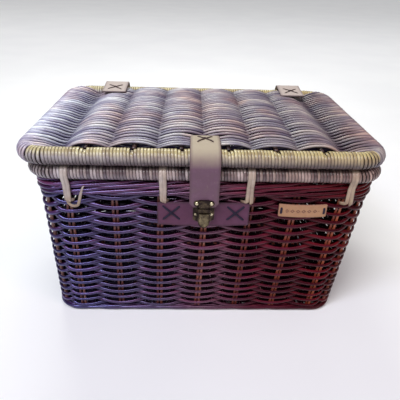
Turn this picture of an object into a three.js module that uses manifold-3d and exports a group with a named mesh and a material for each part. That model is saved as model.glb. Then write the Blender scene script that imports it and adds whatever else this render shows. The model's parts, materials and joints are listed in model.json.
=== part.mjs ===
// Lidded wicker picnic basket: woven body, wrapped rim, hinged woven lid, leather strap with a push clasp.
// Millimetres, +Z up, X runs along the long side, the front with the clasp faces -Y, the base rests on z = 0.
import * as THREE from 'three';
import { mergeVertices } from 'three/addons/utils/BufferGeometryUtils.js';
import Module from 'manifold-3d';

const wasm = await Module();
wasm.setup();

// ---------------------------------------------------------------- driving dimensions
const GAP = 0.3;
const CORNER_STEPS = 5;
const ROD_SIDES = 10;

const FOOT_HEIGHT = 9;
const FOOT_WIDTH = 10;
const BASE_HALF_X = 211;
const BASE_HALF_Y = 144;
const BASE_CORNER = 35;
const BASE_X = -5;
const BASE_FLOOR = 2.5;
const BASE_TOP = 8.5;
const BASE_STICK_YS = [-90, -30, 30, 90];
const BASE_STICK_WIDTH = 9;
const BASE_STICK_LOW = 1;
const BASE_STICK_HIGH = 6;
const BASE_STICK_INSET = 6;

const WALL_LOW = FOOT_HEIGHT + GAP;
const WALL_HIGH = 198;
const WALL_THICK = 9;
const WALL_HALF_X = 223.5;
const WALL_HALF_Y = 148;
const WALL_X = 3.6;
const WALL_CORNER = 36;
const STAKE_WIDTH = 9.6;
const STAKE_DEPTH = 4.4;
const STAKE_COVER = 2.2;
const STAKE_PITCH = 60;
const STAKES_LONG = 7;
const STAKES_SHORT = 4;
const STAKE_SHOE = 4;

const BAND_LOW = WALL_HIGH + GAP;
const BAND_HIGH = 221.7;
const BAND_PROUD = 1.5;
const BAND_THICK = 11;

const RIM_X = 4;
const RIM_HALF_X = 232;
const RIM_HALF_Y = 155.5;
const RIM_CORNER = 40;
const RIM_WRAP_RADIUS = 9.4;
const RIM_CORE_RADIUS = 6.4;
const RIM_Z = BAND_HIGH + GAP + RIM_WRAP_RADIUS;
const RIM_BREAK = 0.6;

const TIE_WIDTH = 9;
const TIE_THICK = 1.8;
const TIE_FOOT = 194;
const TIE_FROM_ANGLE = 200;
const TIE_TO_ANGLE = -25;
const TIE_BEND_STEPS = 9;
const TIE_LANDS_UNDER = 3;
const TIE_FRONT_XS = [-174, -52.5, 59, 190];
const TIE_BACK_XS = [-100, 5, 110];

const LID_X = -1;
const LID_HALF_X = 235;
const LID_HALF_Y = 161;
const LID_CORNER = 42;
const LID_WRAP_RADIUS = 11.3;
const LID_CORE_RADIUS = 8.2;
const LID_SEAT = 2.4;
const WRAP_LEAD = 0.8;
const LID_Z = RIM_Z + RIM_WRAP_RADIUS + LID_SEAT + LID_WRAP_RADIUS;
const LID_TURN_RADIUS = 11.6;
const LID_DOME = 6;
const LID_PANEL_LOW = LID_Z + 1.3;
const LID_PANEL_HIGH = LID_Z + 12.7;
const RIB_PITCH = 59;
const RIB_COUNT = 6;
const RIB_WIDTH = 6;
const RIB_LOW = LID_Z + 3.5;
const RIB_HIGH = LID_Z + 9.5;
const RIB_HALF = 141;
const RIB_STEPS = 12;
const PANEL_CLEAR = 0.5;
const PANEL_STEPS_X = 14;
const PANEL_STEPS_Y = 10;

const LEATHER = 2.6;
const LEATHER_LIFT = 0.5;
const LEATHER_LIES_TO = 138.5;
const LEATHER_BEND_ANGLE = 66;
const LEATHER_BEND_STEPS = 6;
const STRAP_X = 0;
const STRAP_WIDTH = 38;
const STRAP_TOP_Y = -113.5;
const STRAP_END_Z = 191;
const STRAP_CUT = 5;
const STRAP_LEAVES_Z = 245;
const STRAP_KNEE = [-158.6, 226];
const STRAP_FLAT_Z = 210;
const STRAP_STITCH_WIDTH = 24;
const STRAP_STITCH_HEIGHT = 15;
const STRAP_STITCH_INSET = 15;

const HINGE_XS = [-150, 160];
const HINGE_WIDTH = 41;
const HINGE_TOP_Y = 101;
const HINGE_END_Z = 192;
const HINGE_Z = RIM_Z + RIM_WRAP_RADIUS + LID_SEAT;
const HINGE_LEAVES_Z = 236;
const HINGE_RIM_Z = 227;
const HINGE_BAND_Z = 217;
const HINGE_STITCH_WIDTH = 22;
const HINGE_STITCH_HEIGHT = 16;
const HINGE_STITCH_INSET = 21;
const HINGE_STITCH_Z = 203;

const PATCH_WIDTH = 121;
const PATCH_HEIGHT = 34;
const PATCH_Z = 175;
const PATCH_BACK = -148.2;
const PATCH_BOW = 1.2;
const PATCH_TAPER = 0.6;
const PATCH_STITCH_X = 42;
const PATCH_STITCH_WIDTH = 22;
const PATCH_STITCH_HEIGHT = 21;
const PATCH_STITCH_RISE = 2;

const LABEL_X = 131;
const LABEL_Z = 182.5;
const LABEL_WIDTH = 64;
const LABEL_HEIGHT = 19;
const LABEL_THICK = 2;
const LABEL_SAG = 1.6;
const LABEL_STEPS = 6;
const LABEL_STITCH_OFFSET = 28.5;
const LABEL_STITCH_DROP = 5;
const LABEL_STITCH_RISE = 4;

const THREAD_WIDTH = 2;
const THREAD_THICK = 0.9;

const STRAP_BACK_Y = -157.6;
const STRAP_FRONT_Y = STRAP_BACK_Y - LEATHER;
const CASE_HALF = 7.5;
const CASE_LOW = 163;
const CASE_SHOULDER = 172;
const CASE_HIGH = 190.5;
const CASE_DEPTH = 5.2;
const CASE_FRONT_Y = STRAP_FRONT_Y - CASE_DEPTH;
const POCKET_HALF = 5.5;
const POCKET_HIGH = 184;
const POCKET_DEPTH = 1.4;
const SLOT_HALF = 2.3;
const SLOT_LOW = 169;
const SLOT_HIGH = 179.6;
const BROW_HALF = 6.6;
const BROW_DEPTH = 3.8;
const BROW_LOW = 187;
const BROW_HIGH = 202;
const EAR_PLATE_LOW = 191;
const EAR_X = 9.2;
const EAR_Z = 197;
const EAR_RADIUS = 4.2;
const EAR_THICK = 1.2;
const RIVET_HEAD = 2.6;
const RIVET_HEAD_HIGH = 1.6;
const RIVET_SHANK = 1.2;
const RIVET_SIDES = 16;
const HOLE_SIDES = 12;

const BUTTON_HALF = 6.2;
const BUTTON_LOW = 166;
const BUTTON_SHOULDER = 173;
const BUTTON_HIGH = 184.5;
const BUTTON_THICK = 2.6;
const BUTTON_EDGE = 1.1;
const BUTTON_TRAVEL = 4;
const STEM_HALF = 2;
const STEM_HIGH = 179.3;
const STEM_DEPTH = 1.8;

const STRIKER_THICK = 1.2;
const STRIKER_HALF = 14;
const STRIKER_LOW = 165;
const STRIKER_HIGH = 193;
const STRIKER_CUT_X = 5.5;
const STRIKER_CUT_LOW = 3;
const STRIKER_CUT_HIGH = 4;
const POST_HALF = 3;
const POST_LOW = 174;
const POST_HIGH = 179;
const HOOK_HALF = 4.5;
const HOOK_HIGH = 181;
const HOOK_FRONT_Y = -160.3;
const HOOK_BACK_Y = -158.8;
const STRIKER_RIVET_X = 10.5;
const STRIKER_RIVET_Z = 176;
const STRIKER_RIVET_HEAD = 2;
const STRIKER_RIVET_HIGH = 1.1;
const STRIKER_SHANK = 1;

// Cutters run from in front of the clasp to well behind it.
const CUT_FRONT_Y = -172;
const CUT_BACK_Y = -150;

// Moves the finished basket so that its bounding box is centred on the origin in plan.
const CENTRE_SHIFT = new THREE.Vector3(-0.9, 2.2, 0);

// ---------------------------------------------------------------- solids and booleans
function toSolid(geometry) {
  const bare = geometry.clone();
  bare.deleteAttribute('normal');
  bare.deleteAttribute('uv');
  const welded = mergeVertices(bare, 1e-4);
  const vertProperties = new Float32Array(welded.attributes.position.array);
  const triVerts = new Uint32Array(welded.index.array);
  return new wasm.Manifold(new wasm.Mesh({ numProp: 3, vertProperties, triVerts }));
}

function toGeometry(solid) {
  const mesh = solid.getMesh();
  const geometry = new THREE.BufferGeometry();
  geometry.setAttribute('position', new THREE.BufferAttribute(new Float32Array(mesh.vertProperties), 3));
  geometry.setIndex(new THREE.BufferAttribute(new Uint32Array(mesh.triVerts), 1));
  return geometry;
}

function union(solids) {
  return solids.reduce((sum, solid) => sum.add(solid));
}

function minus(solid, cutters) {
  return cutters.reduce((rest, cutter) => rest.subtract(cutter), solid);
}

// A box between two corners, with its faces divided along X and Y where it is to be bent.
function block(x0, x1, y0, y1, z0, z1, divisionsX = 1, divisionsY = 1) {
  const box = new THREE.BoxGeometry(x1 - x0, y1 - y0, z1 - z0, divisionsX, divisionsY, 1);
  return box.translate((x0 + x1) / 2, (y0 + y1) / 2, (z0 + z1) / 2);
}

function moved(geometry, move) {
  const position = geometry.attributes.position;
  const point = new THREE.Vector3();
  for (let i = 0; i < position.count; i += 1) {
    point.fromBufferAttribute(position, i);
    move(point);
    position.setXYZ(i, point.x, point.y, point.z);
  }
  return geometry;
}

// ---------------------------------------------------------------- outlines and sweeps
function roundedOutline(halfX, halfY, radius, centreX = 0) {
  const points = [];
  const corners = [[1, 1], [-1, 1], [-1, -1], [1, -1]];
  corners.forEach(([sideX, sideY], quarter) => {
    for (let i = 0; i <= CORNER_STEPS; i += 1) {
      const angle = (quarter + i / CORNER_STEPS) * Math.PI / 2;
      const x = centreX + sideX * (halfX - radius) + radius * Math.cos(angle);
      const y = sideY * (halfY - radius) + radius * Math.sin(angle);
      points.push(new THREE.Vector2(x, y));
    }
  });
  return points;
}

function prism(outline, z0, z1, hole = null) {
  const shape = new THREE.Shape(outline);
  if (hole) {
    shape.holes.push(new THREE.Path(hole));
  }
  const body = new THREE.ExtrudeGeometry(shape, { depth: z1 - z0, bevelEnabled: false });
  return body.translate(0, 0, z0);
}

// A path through given points, one step to each point, with the section held square to the bend.
class StepPath extends THREE.Curve {
  constructor(points) {
    super();
    this.points = points;
  }

  getPointAt(t) {
    const steps = this.points.length - 1;
    return this.points[Math.round(t * steps)].clone();
  }

  getTangentAt(t) {
    const last = this.points.length - 1;
    const index = Math.round(t * last);
    const after = this.points[Math.min(index + 1, last)];
    const before = this.points[Math.max(index - 1, 0)];
    return after.clone().sub(before).normalize();
  }
}

function circle(radius, sides = ROD_SIDES) {
  const points = [];
  for (let i = 0; i < sides; i += 1) {
    const angle = ((i + 0.5) / sides) * Math.PI * 2;
    points.push(new THREE.Vector2(radius * Math.cos(angle), radius * Math.sin(angle)));
  }
  return points;
}

function sweep(points, radius, bore = 0) {
  const shape = new THREE.Shape(circle(radius));
  if (bore > 0) {
    shape.holes.push(new THREE.Path(circle(bore)));
  }
  const path = new StepPath(points);
  const steps = points.length - 1;
  return new THREE.ExtrudeGeometry(shape, { steps, extrudePath: path, bevelEnabled: false });
}

// Points round a rounded rectangle at one height, beginning in the middle of the back.
function hoopPoints(halfX, halfY, radius, centreX, z) {
  const outline = roundedOutline(halfX, halfY, radius, centreX).map((p) => new THREE.Vector3(p.x, p.y, z));
  const quarter = CORNER_STEPS + 1;
  const back = new THREE.Vector3(centreX, halfY, z);
  return [back, ...outline.slice(quarter), ...outline.slice(0, quarter), back.clone()];
}

// A strip of even thickness along a line of (y, z) points, lying on the left of the line of travel.
function strip(line, thickness, centreX, width) {
  const outer = line.map((point, i) => {
    const before = line[Math.max(i - 1, 0)];
    const after = line[Math.min(i + 1, line.length - 1)];
    const along = after.clone().sub(before).normalize();
    return new THREE.Vector2(point.x - along.y * thickness, point.y + along.x * thickness);
  });
  const shape = new THREE.Shape([...line, ...outer.reverse()]);
  const flat = new THREE.ExtrudeGeometry(shape, { depth: width, bevelEnabled: false });
  return moved(flat, (p) => p.set(centreX - width / 2 + p.z, p.x, p.y));
}

function line2(pairs) {
  return pairs.map(([y, z]) => new THREE.Vector2(y, z));
}

// Part of a circle in the (y, z) plane, in degrees.
function arc2(centreY, centreZ, radius, from, to, steps) {
  const points = [];
  for (let i = 0; i <= steps; i += 1) {
    const angle = THREE.MathUtils.degToRad(from + (to - from) * i / steps);
    points.push(new THREE.Vector2(centreY + radius * Math.cos(angle), centreZ + radius * Math.sin(angle)));
  }
  return points;
}

// A flat outline in (x, z), given a depth in Y.
function facePlate(outline, y0, y1) {
  const shape = new THREE.Shape(outline.map(([x, z]) => new THREE.Vector2(x, z)));
  const flat = new THREE.ExtrudeGeometry(shape, { depth: y1 - y0, bevelEnabled: false });
  return moved(flat, (p) => p.set(p.x, y1 - p.z, p.y));
}

// ---------------------------------------------------------------- assembly
const basket = new THREE.Group();

function add(name, geometry, colour, roughness, metalness = 0) {
  const body = geometry.index ? geometry : mergeVertices(geometry);
  body.translate(CENTRE_SHIFT.x, CENTRE_SHIFT.y, CENTRE_SHIFT.z);
  body.computeVertexNormals();
  const material = new THREE.MeshStandardMaterial({ color: colour, roughness, metalness });
  const mesh = new THREE.Mesh(body, material);
  mesh.name = name;
  basket.add(mesh);
}

const WILLOW = '#4a2430';
const STAKE_WILLOW = '#8a4026';
const CANE = '#a69686';
const LID_CANE = '#c9b98c';
const LID_WILLOW = '#7d6a70';
const TIE_CANE = '#c4a478';
const STRAP_LEATHER = '#8f7078';
const PATCH_LEATHER = '#74485e';
const LABEL_LEATHER = '#c89b7d';
const THREAD = '#2a2034';
const BRASS = '#6b5c40';
const BRIGHT_BRASS = '#a89a72';

// ---------------------------------------------------------------- base
function buildBase() {
  const outer = roundedOutline(BASE_HALF_X, BASE_HALF_Y, BASE_CORNER, BASE_X);
  const innerX = BASE_HALF_X - FOOT_WIDTH;
  const innerY = BASE_HALF_Y - FOOT_WIDTH;
  const innerCorner = BASE_CORNER - FOOT_WIDTH;
  const inner = roundedOutline(innerX, innerY, innerCorner, BASE_X);
  add('foot_border', prism(outer, 0, FOOT_HEIGHT, inner), WILLOW, 0.45);

  const floorOutline = roundedOutline(innerX - GAP, innerY - GAP, innerCorner - GAP, BASE_X);
  const floor = toSolid(prism(floorOutline, BASE_FLOOR, BASE_TOP));
  const stickHalf = innerX - BASE_STICK_INSET;
  const grooves = BASE_STICK_YS.map((y) => {
    const half = BASE_STICK_WIDTH / 2 + GAP;
    const x0 = BASE_X - stickHalf - GAP;
    const x1 = BASE_X + stickHalf + GAP;
    return toSolid(block(x0, x1, y - half, y + half, 0, BASE_STICK_HIGH + GAP));
  });
  add('base_weave', toGeometry(minus(floor, grooves)), WILLOW, 0.55);

  BASE_STICK_YS.forEach((y, i) => {
    const half = BASE_STICK_WIDTH / 2;
    const x0 = BASE_X - stickHalf;
    const x1 = BASE_X + stickHalf;
    const stick = block(x0, x1, y - half, y + half, BASE_STICK_LOW, BASE_STICK_HIGH);
    add(`base_stick_${i + 1}`, stick, STAKE_WILLOW, 0.55);
  });
}

// ---------------------------------------------------------------- woven sides on double stakes
// The sides are laid out upright, then leaned to the smaller base.
function leaned(geometry) {
  return moved(geometry, (p) => {
    const t = (WALL_HIGH - p.z) / WALL_HIGH;
    const scaleX = 1 - t * (1 - BASE_HALF_X / WALL_HALF_X);
    const scaleY = 1 - t * (1 - BASE_HALF_Y / WALL_HALF_Y);
    p.x = p.x * scaleX + WALL_X + (BASE_X - WALL_X) * t;
    p.y *= scaleY;
  });
}

function centred(count, pitch) {
  return Array.from({ length: count }, (_, i) => (i - (count - 1) / 2) * pitch);
}

// The double stakes of one side, joined at the foot where their ends are tucked under the weave.
// side is 1 or -1, along is 'x' for the long sides and 'y' for the short ones.
function stakeComb(along, side, extra) {
  const half = along === 'x' ? WALL_HALF_Y : WALL_HALF_X;
  const count = along === 'x' ? STAKES_LONG : STAKES_SHORT;
  const near = half - STAKE_COVER - STAKE_DEPTH - extra;
  const far = half - STAKE_COVER + extra;
  const depths = side > 0 ? [near, far] : [-far, -near];
  const low = WALL_LOW + (extra ? -1 : GAP);
  const high = WALL_HIGH + (extra ? 1 : -GAP);
  const width = STAKE_WIDTH / 2 + extra;
  const stations = centred(count, STAKE_PITCH);
  const reach = stations[count - 1] + width;
  const solids = stations.map((s) => {
    const across = [s - width, s + width];
    const box = along === 'x' ? [...across, ...depths] : [...depths, ...across];
    return toSolid(block(...box, low, high));
  });
  const shoeTop = WALL_LOW + STAKE_SHOE + GAP + extra;
  const shoe = along === 'x' ? [-reach, reach, ...depths] : [...depths, -reach, reach];
  solids.push(toSolid(block(...shoe, low, shoeTop)));
  return union(solids);
}

// The room that the stakes need, opened through to the inner face of the weave.
function stakeSlots(along, side) {
  const comb = stakeComb(along, side, GAP);
  const inward = -side * (WALL_THICK - STAKE_COVER - STAKE_DEPTH + 1);
  const shift = along === 'x' ? [0, inward, 0] : [inward, 0, 0];
  return union([0, 0.5, 1].map((k) => comb.translate(shift[0] * k, shift[1] * k, 0)));
}

function buildSides() {
  const outer = roundedOutline(WALL_HALF_X, WALL_HALF_Y, WALL_CORNER);
  const inner = roundedOutline(WALL_HALF_X - WALL_THICK, WALL_HALF_Y - WALL_THICK, WALL_CORNER - WALL_THICK);
  const sides = [['x', -1, 'front'], ['x', 1, 'back'], ['y', -1, 'left'], ['y', 1, 'right']];
  const slots = sides.map(([along, side]) => stakeSlots(along, side));
  const wall = minus(toSolid(prism(outer, WALL_LOW, WALL_HIGH, inner)), slots);
  add('side_weave', leaned(toGeometry(wall)), WILLOW, 0.4);
  sides.forEach(([along, side, name]) => {
    add(`stakes_${name}`, leaned(toGeometry(stakeComb(along, side, 0))), STAKE_WILLOW, 0.5);
  });
}

// ---------------------------------------------------------------- top band, rim and its ties
function buildRim() {
  const bandX = WALL_HALF_X + BAND_PROUD;
  const bandY = WALL_HALF_Y + BAND_PROUD;
  const bandCorner = WALL_CORNER + BAND_PROUD;
  const bandOuter = roundedOutline(bandX, bandY, bandCorner, RIM_X);
  const bandInner = roundedOutline(bandX - BAND_THICK, bandY - BAND_THICK, bandCorner - BAND_THICK, RIM_X);
  add('top_band', prism(bandOuter, BAND_LOW, BAND_HIGH, bandInner), WILLOW, 0.4);

  const halfX = RIM_HALF_X - RIM_WRAP_RADIUS;
  const halfY = RIM_HALF_Y - RIM_WRAP_RADIUS;
  const hoop = hoopPoints(halfX, halfY, RIM_CORNER - RIM_WRAP_RADIUS, RIM_X, RIM_Z);
  add('rim_core', closedHoop(hoop, RIM_CORE_RADIUS), STAKE_WILLOW, 0.6);
  const open = hoop.map((p) => p.clone());
  open[0].x -= RIM_BREAK / 2;
  open[open.length - 1].x += RIM_BREAK / 2;
  add('rim_wrap', sweep(open, RIM_WRAP_RADIUS, RIM_CORE_RADIUS + GAP), CANE, 0.5);
}

// A whole ring with no seam: two half hoops that overlap a little, made one.
function closedHoop(hoop, radius) {
  const middle = (hoop.length - 1) / 2;
  const low = Math.floor(middle);
  const high = Math.ceil(middle);
  const front = hoop[low].clone().lerp(hoop[high], 0.5);
  const first = [...hoop.slice(0, low + 1), front];
  const second = [front, ...hoop.slice(high)];
  first[0] = first[0].clone();
  first[0].x += 1;
  second[0] = second[0].clone();
  second[0].x -= 1;
  return toGeometry(toSolid(sweep(first, radius)).add(toSolid(sweep(second, radius))));
}

// The line that a cane tie takes in a plane across the rim; out is the distance from the basket's middle.
function tieLine(rimOut, bandOut) {
  const over = arc2(rimOut, RIM_Z, RIM_WRAP_RADIUS + GAP, TIE_FROM_ANGLE, TIE_TO_ANGLE, TIE_BEND_STEPS);
  return [...over, ...line2([[bandOut + GAP, BAND_HIGH - TIE_LANDS_UNDER], [bandOut + GAP, TIE_FOOT]])];
}

function buildTies() {
  const rimOutY = RIM_HALF_Y - RIM_WRAP_RADIUS;
  const bandOutY = WALL_HALF_Y + BAND_PROUD;
  const long = tieLine(rimOutY, bandOutY);
  TIE_FRONT_XS.forEach((x, i) => {
    const tie = strip(long, TIE_THICK, -x, TIE_WIDTH).rotateZ(Math.PI);
    add(`rim_tie_front_${i + 1}`, tie, TIE_CANE, 0.6);
  });
  TIE_BACK_XS.forEach((x, i) => {
    add(`rim_tie_back_${i + 1}`, strip(long, TIE_THICK, x, TIE_WIDTH), TIE_CANE, 0.6);
  });
  const rimOutX = RIM_HALF_X - RIM_WRAP_RADIUS;
  const bandOutX = WALL_HALF_X + BAND_PROUD;
  const short = tieLine(rimOutX, bandOutX);
  const right = strip(short, TIE_THICK, 0, TIE_WIDTH).rotateZ(-Math.PI / 2);
  add('rim_tie_right', right.translate(RIM_X, 0, 0), TIE_CANE, 0.6);
  const left = strip(short, TIE_THICK, 0, TIE_WIDTH).rotateZ(Math.PI / 2);
  add('rim_tie_left', left.translate(RIM_X, 0, 0), TIE_CANE, 0.6);
}

// ---------------------------------------------------------------- lid
const LID_LINE_X = LID_HALF_X - LID_WRAP_RADIUS;
const LID_LINE_Y = LID_HALF_Y - LID_WRAP_RADIUS;
const LID_LINE_CORNER = LID_CORNER - LID_WRAP_RADIUS;
const LID_STRAIGHT_Y = LID_LINE_Y - LID_LINE_CORNER;

function dome(x, y) {
  const acrossX = 1 - ((x - LID_X) / LID_LINE_X) ** 2;
  const acrossY = 1 - (y / LID_LINE_Y) ** 2;
  return LID_DOME * acrossX * acrossY;
}

function domed(geometry) {
  return moved(geometry, (p) => {
    p.z += dome(p.x, p.y);
  });
}

function ribXs() {
  return centred(RIB_COUNT, RIB_PITCH).map((x) => x + LID_X + 1);
}

function ribBlock(x, extra) {
  const half = RIB_WIDTH / 2 + extra;
  const length = RIB_HALF + extra;
  const low = extra ? LID_PANEL_LOW - 3 : RIB_LOW;
  return domed(block(x - half, x + half, -length, length, low, RIB_HIGH + extra, 1, RIB_STEPS));
}

function buildLidFrame() {
  const hoop = hoopPoints(LID_LINE_X, LID_LINE_Y, LID_LINE_CORNER, LID_X, LID_Z);
  add('lid_frame', closedHoop(hoop, LID_CORE_RADIUS), STAKE_WILLOW, 0.6);
  const notches = ribXs().map((x) => {
    const half = RIB_WIDTH / 2 + GAP;
    const reach = RIB_HALF + GAP;
    return toSolid(block(x - half, x + half, -reach, reach, RIB_LOW - GAP, LID_PANEL_HIGH + LID_DOME));
  });
  [[-1, 'front'], [1, 'back']].forEach(([side, name]) => {
    const half = hoop.filter((p) => p.y * side > 0 && Math.abs(p.y) >= LID_STRAIGHT_Y - 0.01);
    const line = half.filter((p) => Math.abs(p.x - LID_X) > 1).sort((p, q) => order(p) - order(q));
    const start = line[0].clone().setY(side * (LID_STRAIGHT_Y + GAP));
    const end = line[line.length - 1].clone().setY(start.y);
    line[0].y = start.y + side * WRAP_LEAD;
    line[line.length - 1].y = line[0].y;
    const wrap = toSolid(sweep([start, ...line, end], LID_WRAP_RADIUS, LID_CORE_RADIUS + GAP));
    add(`lid_wrap_${name}`, toGeometry(minus(wrap, notches)), LID_CANE, 0.5);
  });
}

// Sorts the points of one end of the lid hoop from left to right along the bend.
function order(p) {
  return Math.sign(p.x - LID_X) * (LID_LINE_X * 2 - Math.abs(p.y)) + (p.x - LID_X) * 0.5;
}

function buildLidWeave() {
  const panelX = LID_LINE_X - LID_WRAP_RADIUS - PANEL_CLEAR;
  const panelY = LID_LINE_Y - LID_WRAP_RADIUS - PANEL_CLEAR;
  const corner = LID_CORNER - 2 * LID_WRAP_RADIUS - PANEL_CLEAR;
  const x0 = LID_X - LID_LINE_X + LID_CORE_RADIUS + 1;
  const x1 = LID_X + LID_LINE_X - LID_CORE_RADIUS - 1;
  const turnHalf = LID_STRAIGHT_Y - GAP;
  const top = LID_PANEL_HIGH + 2 * LID_DOME;
  const flat = block(x0, x1, -panelY, panelY, LID_PANEL_LOW, LID_PANEL_HIGH, PANEL_STEPS_X, PANEL_STEPS_Y);
  const inside = toSolid(prism(roundedOutline(panelX, panelY, corner, LID_X), LID_Z, top));
  const ends = toSolid(block(x0, x1, -turnHalf, turnHalf, LID_Z, top));
  const panel = toSolid(domed(flat)).intersect(inside.add(ends));
  const turns = [-1, 1].map((side) => {
    const x = LID_X + side * LID_LINE_X;
    const line = [new THREE.Vector3(x, -turnHalf, LID_Z), new THREE.Vector3(x, turnHalf, LID_Z)];
    return toSolid(sweep(line, LID_TURN_RADIUS, LID_CORE_RADIUS + GAP));
  });
  const grooves = ribXs().map((x) => toSolid(ribBlock(x, GAP)));
  add('lid_weave', toGeometry(minus(union([panel, ...turns]), grooves)), LID_WILLOW, 0.45);
  ribXs().forEach((x, i) => {
    add(`lid_rib_${i + 1}`, ribBlock(x, 0), STAKE_WILLOW, 0.55);
  });
}

// ---------------------------------------------------------------- leather strap and hinge leathers
function overLid(x, y) {
  return LID_PANEL_HIGH + dome(x, y) + LEATHER_LIFT;
}

// Both strap and hinge leathers lie on the weave, bend over the lid rod and end at its outer side.
function lidLeather(x, endY, side, tail) {
  const bend = arc2(LID_LINE_Y, LID_Z, LID_WRAP_RADIUS + GAP, LEATHER_BEND_ANGLE, 0, LEATHER_BEND_STEPS);
  const lyingYs = [endY, (endY + LEATHER_LIES_TO) / 2, LEATHER_LIES_TO];
  const lying = lyingYs.map((y) => new THREE.Vector2(y, overLid(x, y)));
  return [...lying, ...bend, ...tail].map((p) => new THREE.Vector2(p.x * side, p.y));
}

function leatherSlab(line, x, width, side) {
  return strip(side > 0 ? line : [...line].reverse(), LEATHER, x, width);
}

function buildHinges() {
  const outerY = LID_LINE_Y + LID_WRAP_RADIUS + GAP;
  HINGE_XS.forEach((x, i) => {
    const name = i === 0 ? 'left' : 'right';
    const tail = line2([[outerY, HINGE_Z + GAP / 2]]);
    const upper = lidLeather(x, HINGE_TOP_Y, 1, tail);
    add(`hinge_leather_upper_${name}`, leatherSlab(upper, x, HINGE_WIDTH, 1), STRAP_LEATHER, 0.7);
    const bandY = WALL_HALF_Y + BAND_PROUD + 0.5;
    const top = [[outerY, HINGE_Z - GAP / 2], [outerY, HINGE_LEAVES_Z], [RIM_HALF_Y + 1, HINGE_RIM_Z]];
    const foot = [[bandY, HINGE_BAND_Z], [bandY, HINGE_END_Z]];
    const lower = strip(line2([...top, ...foot]), LEATHER, x, HINGE_WIDTH);
    add(`hinge_leather_lower_${name}`, lower, STRAP_LEATHER, 0.7);

    const stitchY = HINGE_TOP_Y + HINGE_STITCH_INSET;
    const lift = overLid(x, stitchY) + LEATHER + THREAD_THICK;
    const upperStitch = crossStitch(HINGE_STITCH_WIDTH, HINGE_STITCH_HEIGHT).rotateX(-Math.PI / 2);
    add(`hinge_stitch_upper_${name}`, upperStitch.translate(x, stitchY, lift), THREAD, 0.8);
    const lowerStitch = crossStitch(HINGE_STITCH_WIDTH, HINGE_STITCH_HEIGHT);
    lowerStitch.translate(x, bandY + LEATHER + GAP + THREAD_THICK, HINGE_STITCH_Z);
    add(`hinge_stitch_lower_${name}`, lowerStitch, THREAD, 0.8);
  });
}

function buildStrap() {
  const outerY = LID_LINE_Y + LID_WRAP_RADIUS + GAP;
  const upper = lidLeather(STRAP_X, -STRAP_TOP_Y, -1, []);
  add('strap_top', leatherSlab(upper, STRAP_X, STRAP_WIDTH, -1), STRAP_LEATHER, 0.7);
  const bend = [[-outerY, LID_Z - GAP], [-outerY, STRAP_LEAVES_Z], STRAP_KNEE];
  const flat = [[STRAP_BACK_Y, STRAP_FLAT_Z], [STRAP_BACK_Y, STRAP_END_Z]];
  const drop = toSolid(strip(line2([...bend, ...flat]).reverse(), LEATHER, STRAP_X, STRAP_WIDTH));
  const corners = [-1, 1].map((side) => {
    const x = STRAP_X + side * STRAP_WIDTH / 2;
    const low = STRAP_END_Z - 1;
    const tip = [[x - side * STRAP_CUT, low], [x + side, low], [x + side, STRAP_END_Z + STRAP_CUT + 1]];
    return toSolid(facePlate(side > 0 ? tip : tip.reverse(), CUT_FRONT_Y, CUT_BACK_Y));
  });
  add('strap_drop', toGeometry(minus(drop, [...corners, ...earHoles()])), STRAP_LEATHER, 0.7);
  const stitchY = STRAP_TOP_Y - STRAP_STITCH_INSET;
  const lift = overLid(STRAP_X, stitchY) + LEATHER + THREAD_THICK;
  const stitch = crossStitch(STRAP_STITCH_WIDTH, STRAP_STITCH_HEIGHT).rotateX(-Math.PI / 2);
  add('strap_stitch', stitch.translate(STRAP_X, stitchY, lift), THREAD, 0.8);
}

// Two crossed threads in one plane, its front facing -Y.
function crossStitch(width, height) {
  const length = Math.hypot(width, height);
  const angle = Math.atan2(height, width);
  const threads = [angle, -angle].map((turn) => {
    const half = THREAD_WIDTH / 2;
    return toSolid(block(-length / 2, length / 2, -THREAD_THICK, 0, -half, half).rotateY(turn));
  });
  return toGeometry(union(threads));
}

// ---------------------------------------------------------------- patch and label on the front
function buildFrontLeathers() {
  const x = PATCH_WIDTH / 2;
  const low = PATCH_Z - PATCH_HEIGHT / 2;
  const high = PATCH_Z + PATCH_HEIGHT / 2;
  const topX = x - PATCH_TAPER;
  const lower = [[-x, low], [0, low - PATCH_BOW], [x, low]];
  const upper = [[topX, high], [0, high + PATCH_BOW], [-topX, high]];
  const patch = toSolid(facePlate([...lower, ...upper], PATCH_BACK - LEATHER, PATCH_BACK));
  add('front_patch', toGeometry(patch), PATCH_LEATHER, 0.7);
  [-1, 1].forEach((side) => {
    const name = side < 0 ? 'left' : 'right';
    const stitch = crossStitch(PATCH_STITCH_WIDTH, PATCH_STITCH_HEIGHT);
    stitch.translate(side * PATCH_STITCH_X, PATCH_BACK - LEATHER - GAP, PATCH_Z + PATCH_STITCH_RISE);
    add(`patch_stitch_${name}`, stitch, THREAD, 0.8);
  });

  const labelHalf = LABEL_WIDTH / 2;
  const rise = LABEL_HEIGHT / 2;
  const edge = [];
  for (let i = 0; i <= LABEL_STEPS; i += 1) {
    const k = 2 * i / LABEL_STEPS - 1;
    edge.push([k * labelHalf, LABEL_SAG * (k * k - 1)]);
  }
  const labelOutline = [
    ...edge.map(([ex, ez]) => [LABEL_X + ex, LABEL_Z - rise + ez]),
    ...edge.reverse().map(([ex, ez]) => [LABEL_X + ex, LABEL_Z + rise + ez]),
  ];
  add('label', facePlate(labelOutline, PATCH_BACK - LABEL_THICK, PATCH_BACK), LABEL_LEATHER, 0.65);
  [-1, 1].forEach((side) => {
    const name = side < 0 ? 'left' : 'right';
    const at = LABEL_X + side * LABEL_STITCH_OFFSET;
    const front = PATCH_BACK - LABEL_THICK - GAP;
    const half = THREAD_WIDTH / 2;
    const low = LABEL_Z - LABEL_STITCH_DROP;
    const bar = block(at - half, at + half, front - THREAD_THICK, front, low, LABEL_Z + LABEL_STITCH_RISE);
    add(`label_stitch_${name}`, bar, THREAD, 0.8);
  });
}

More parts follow.
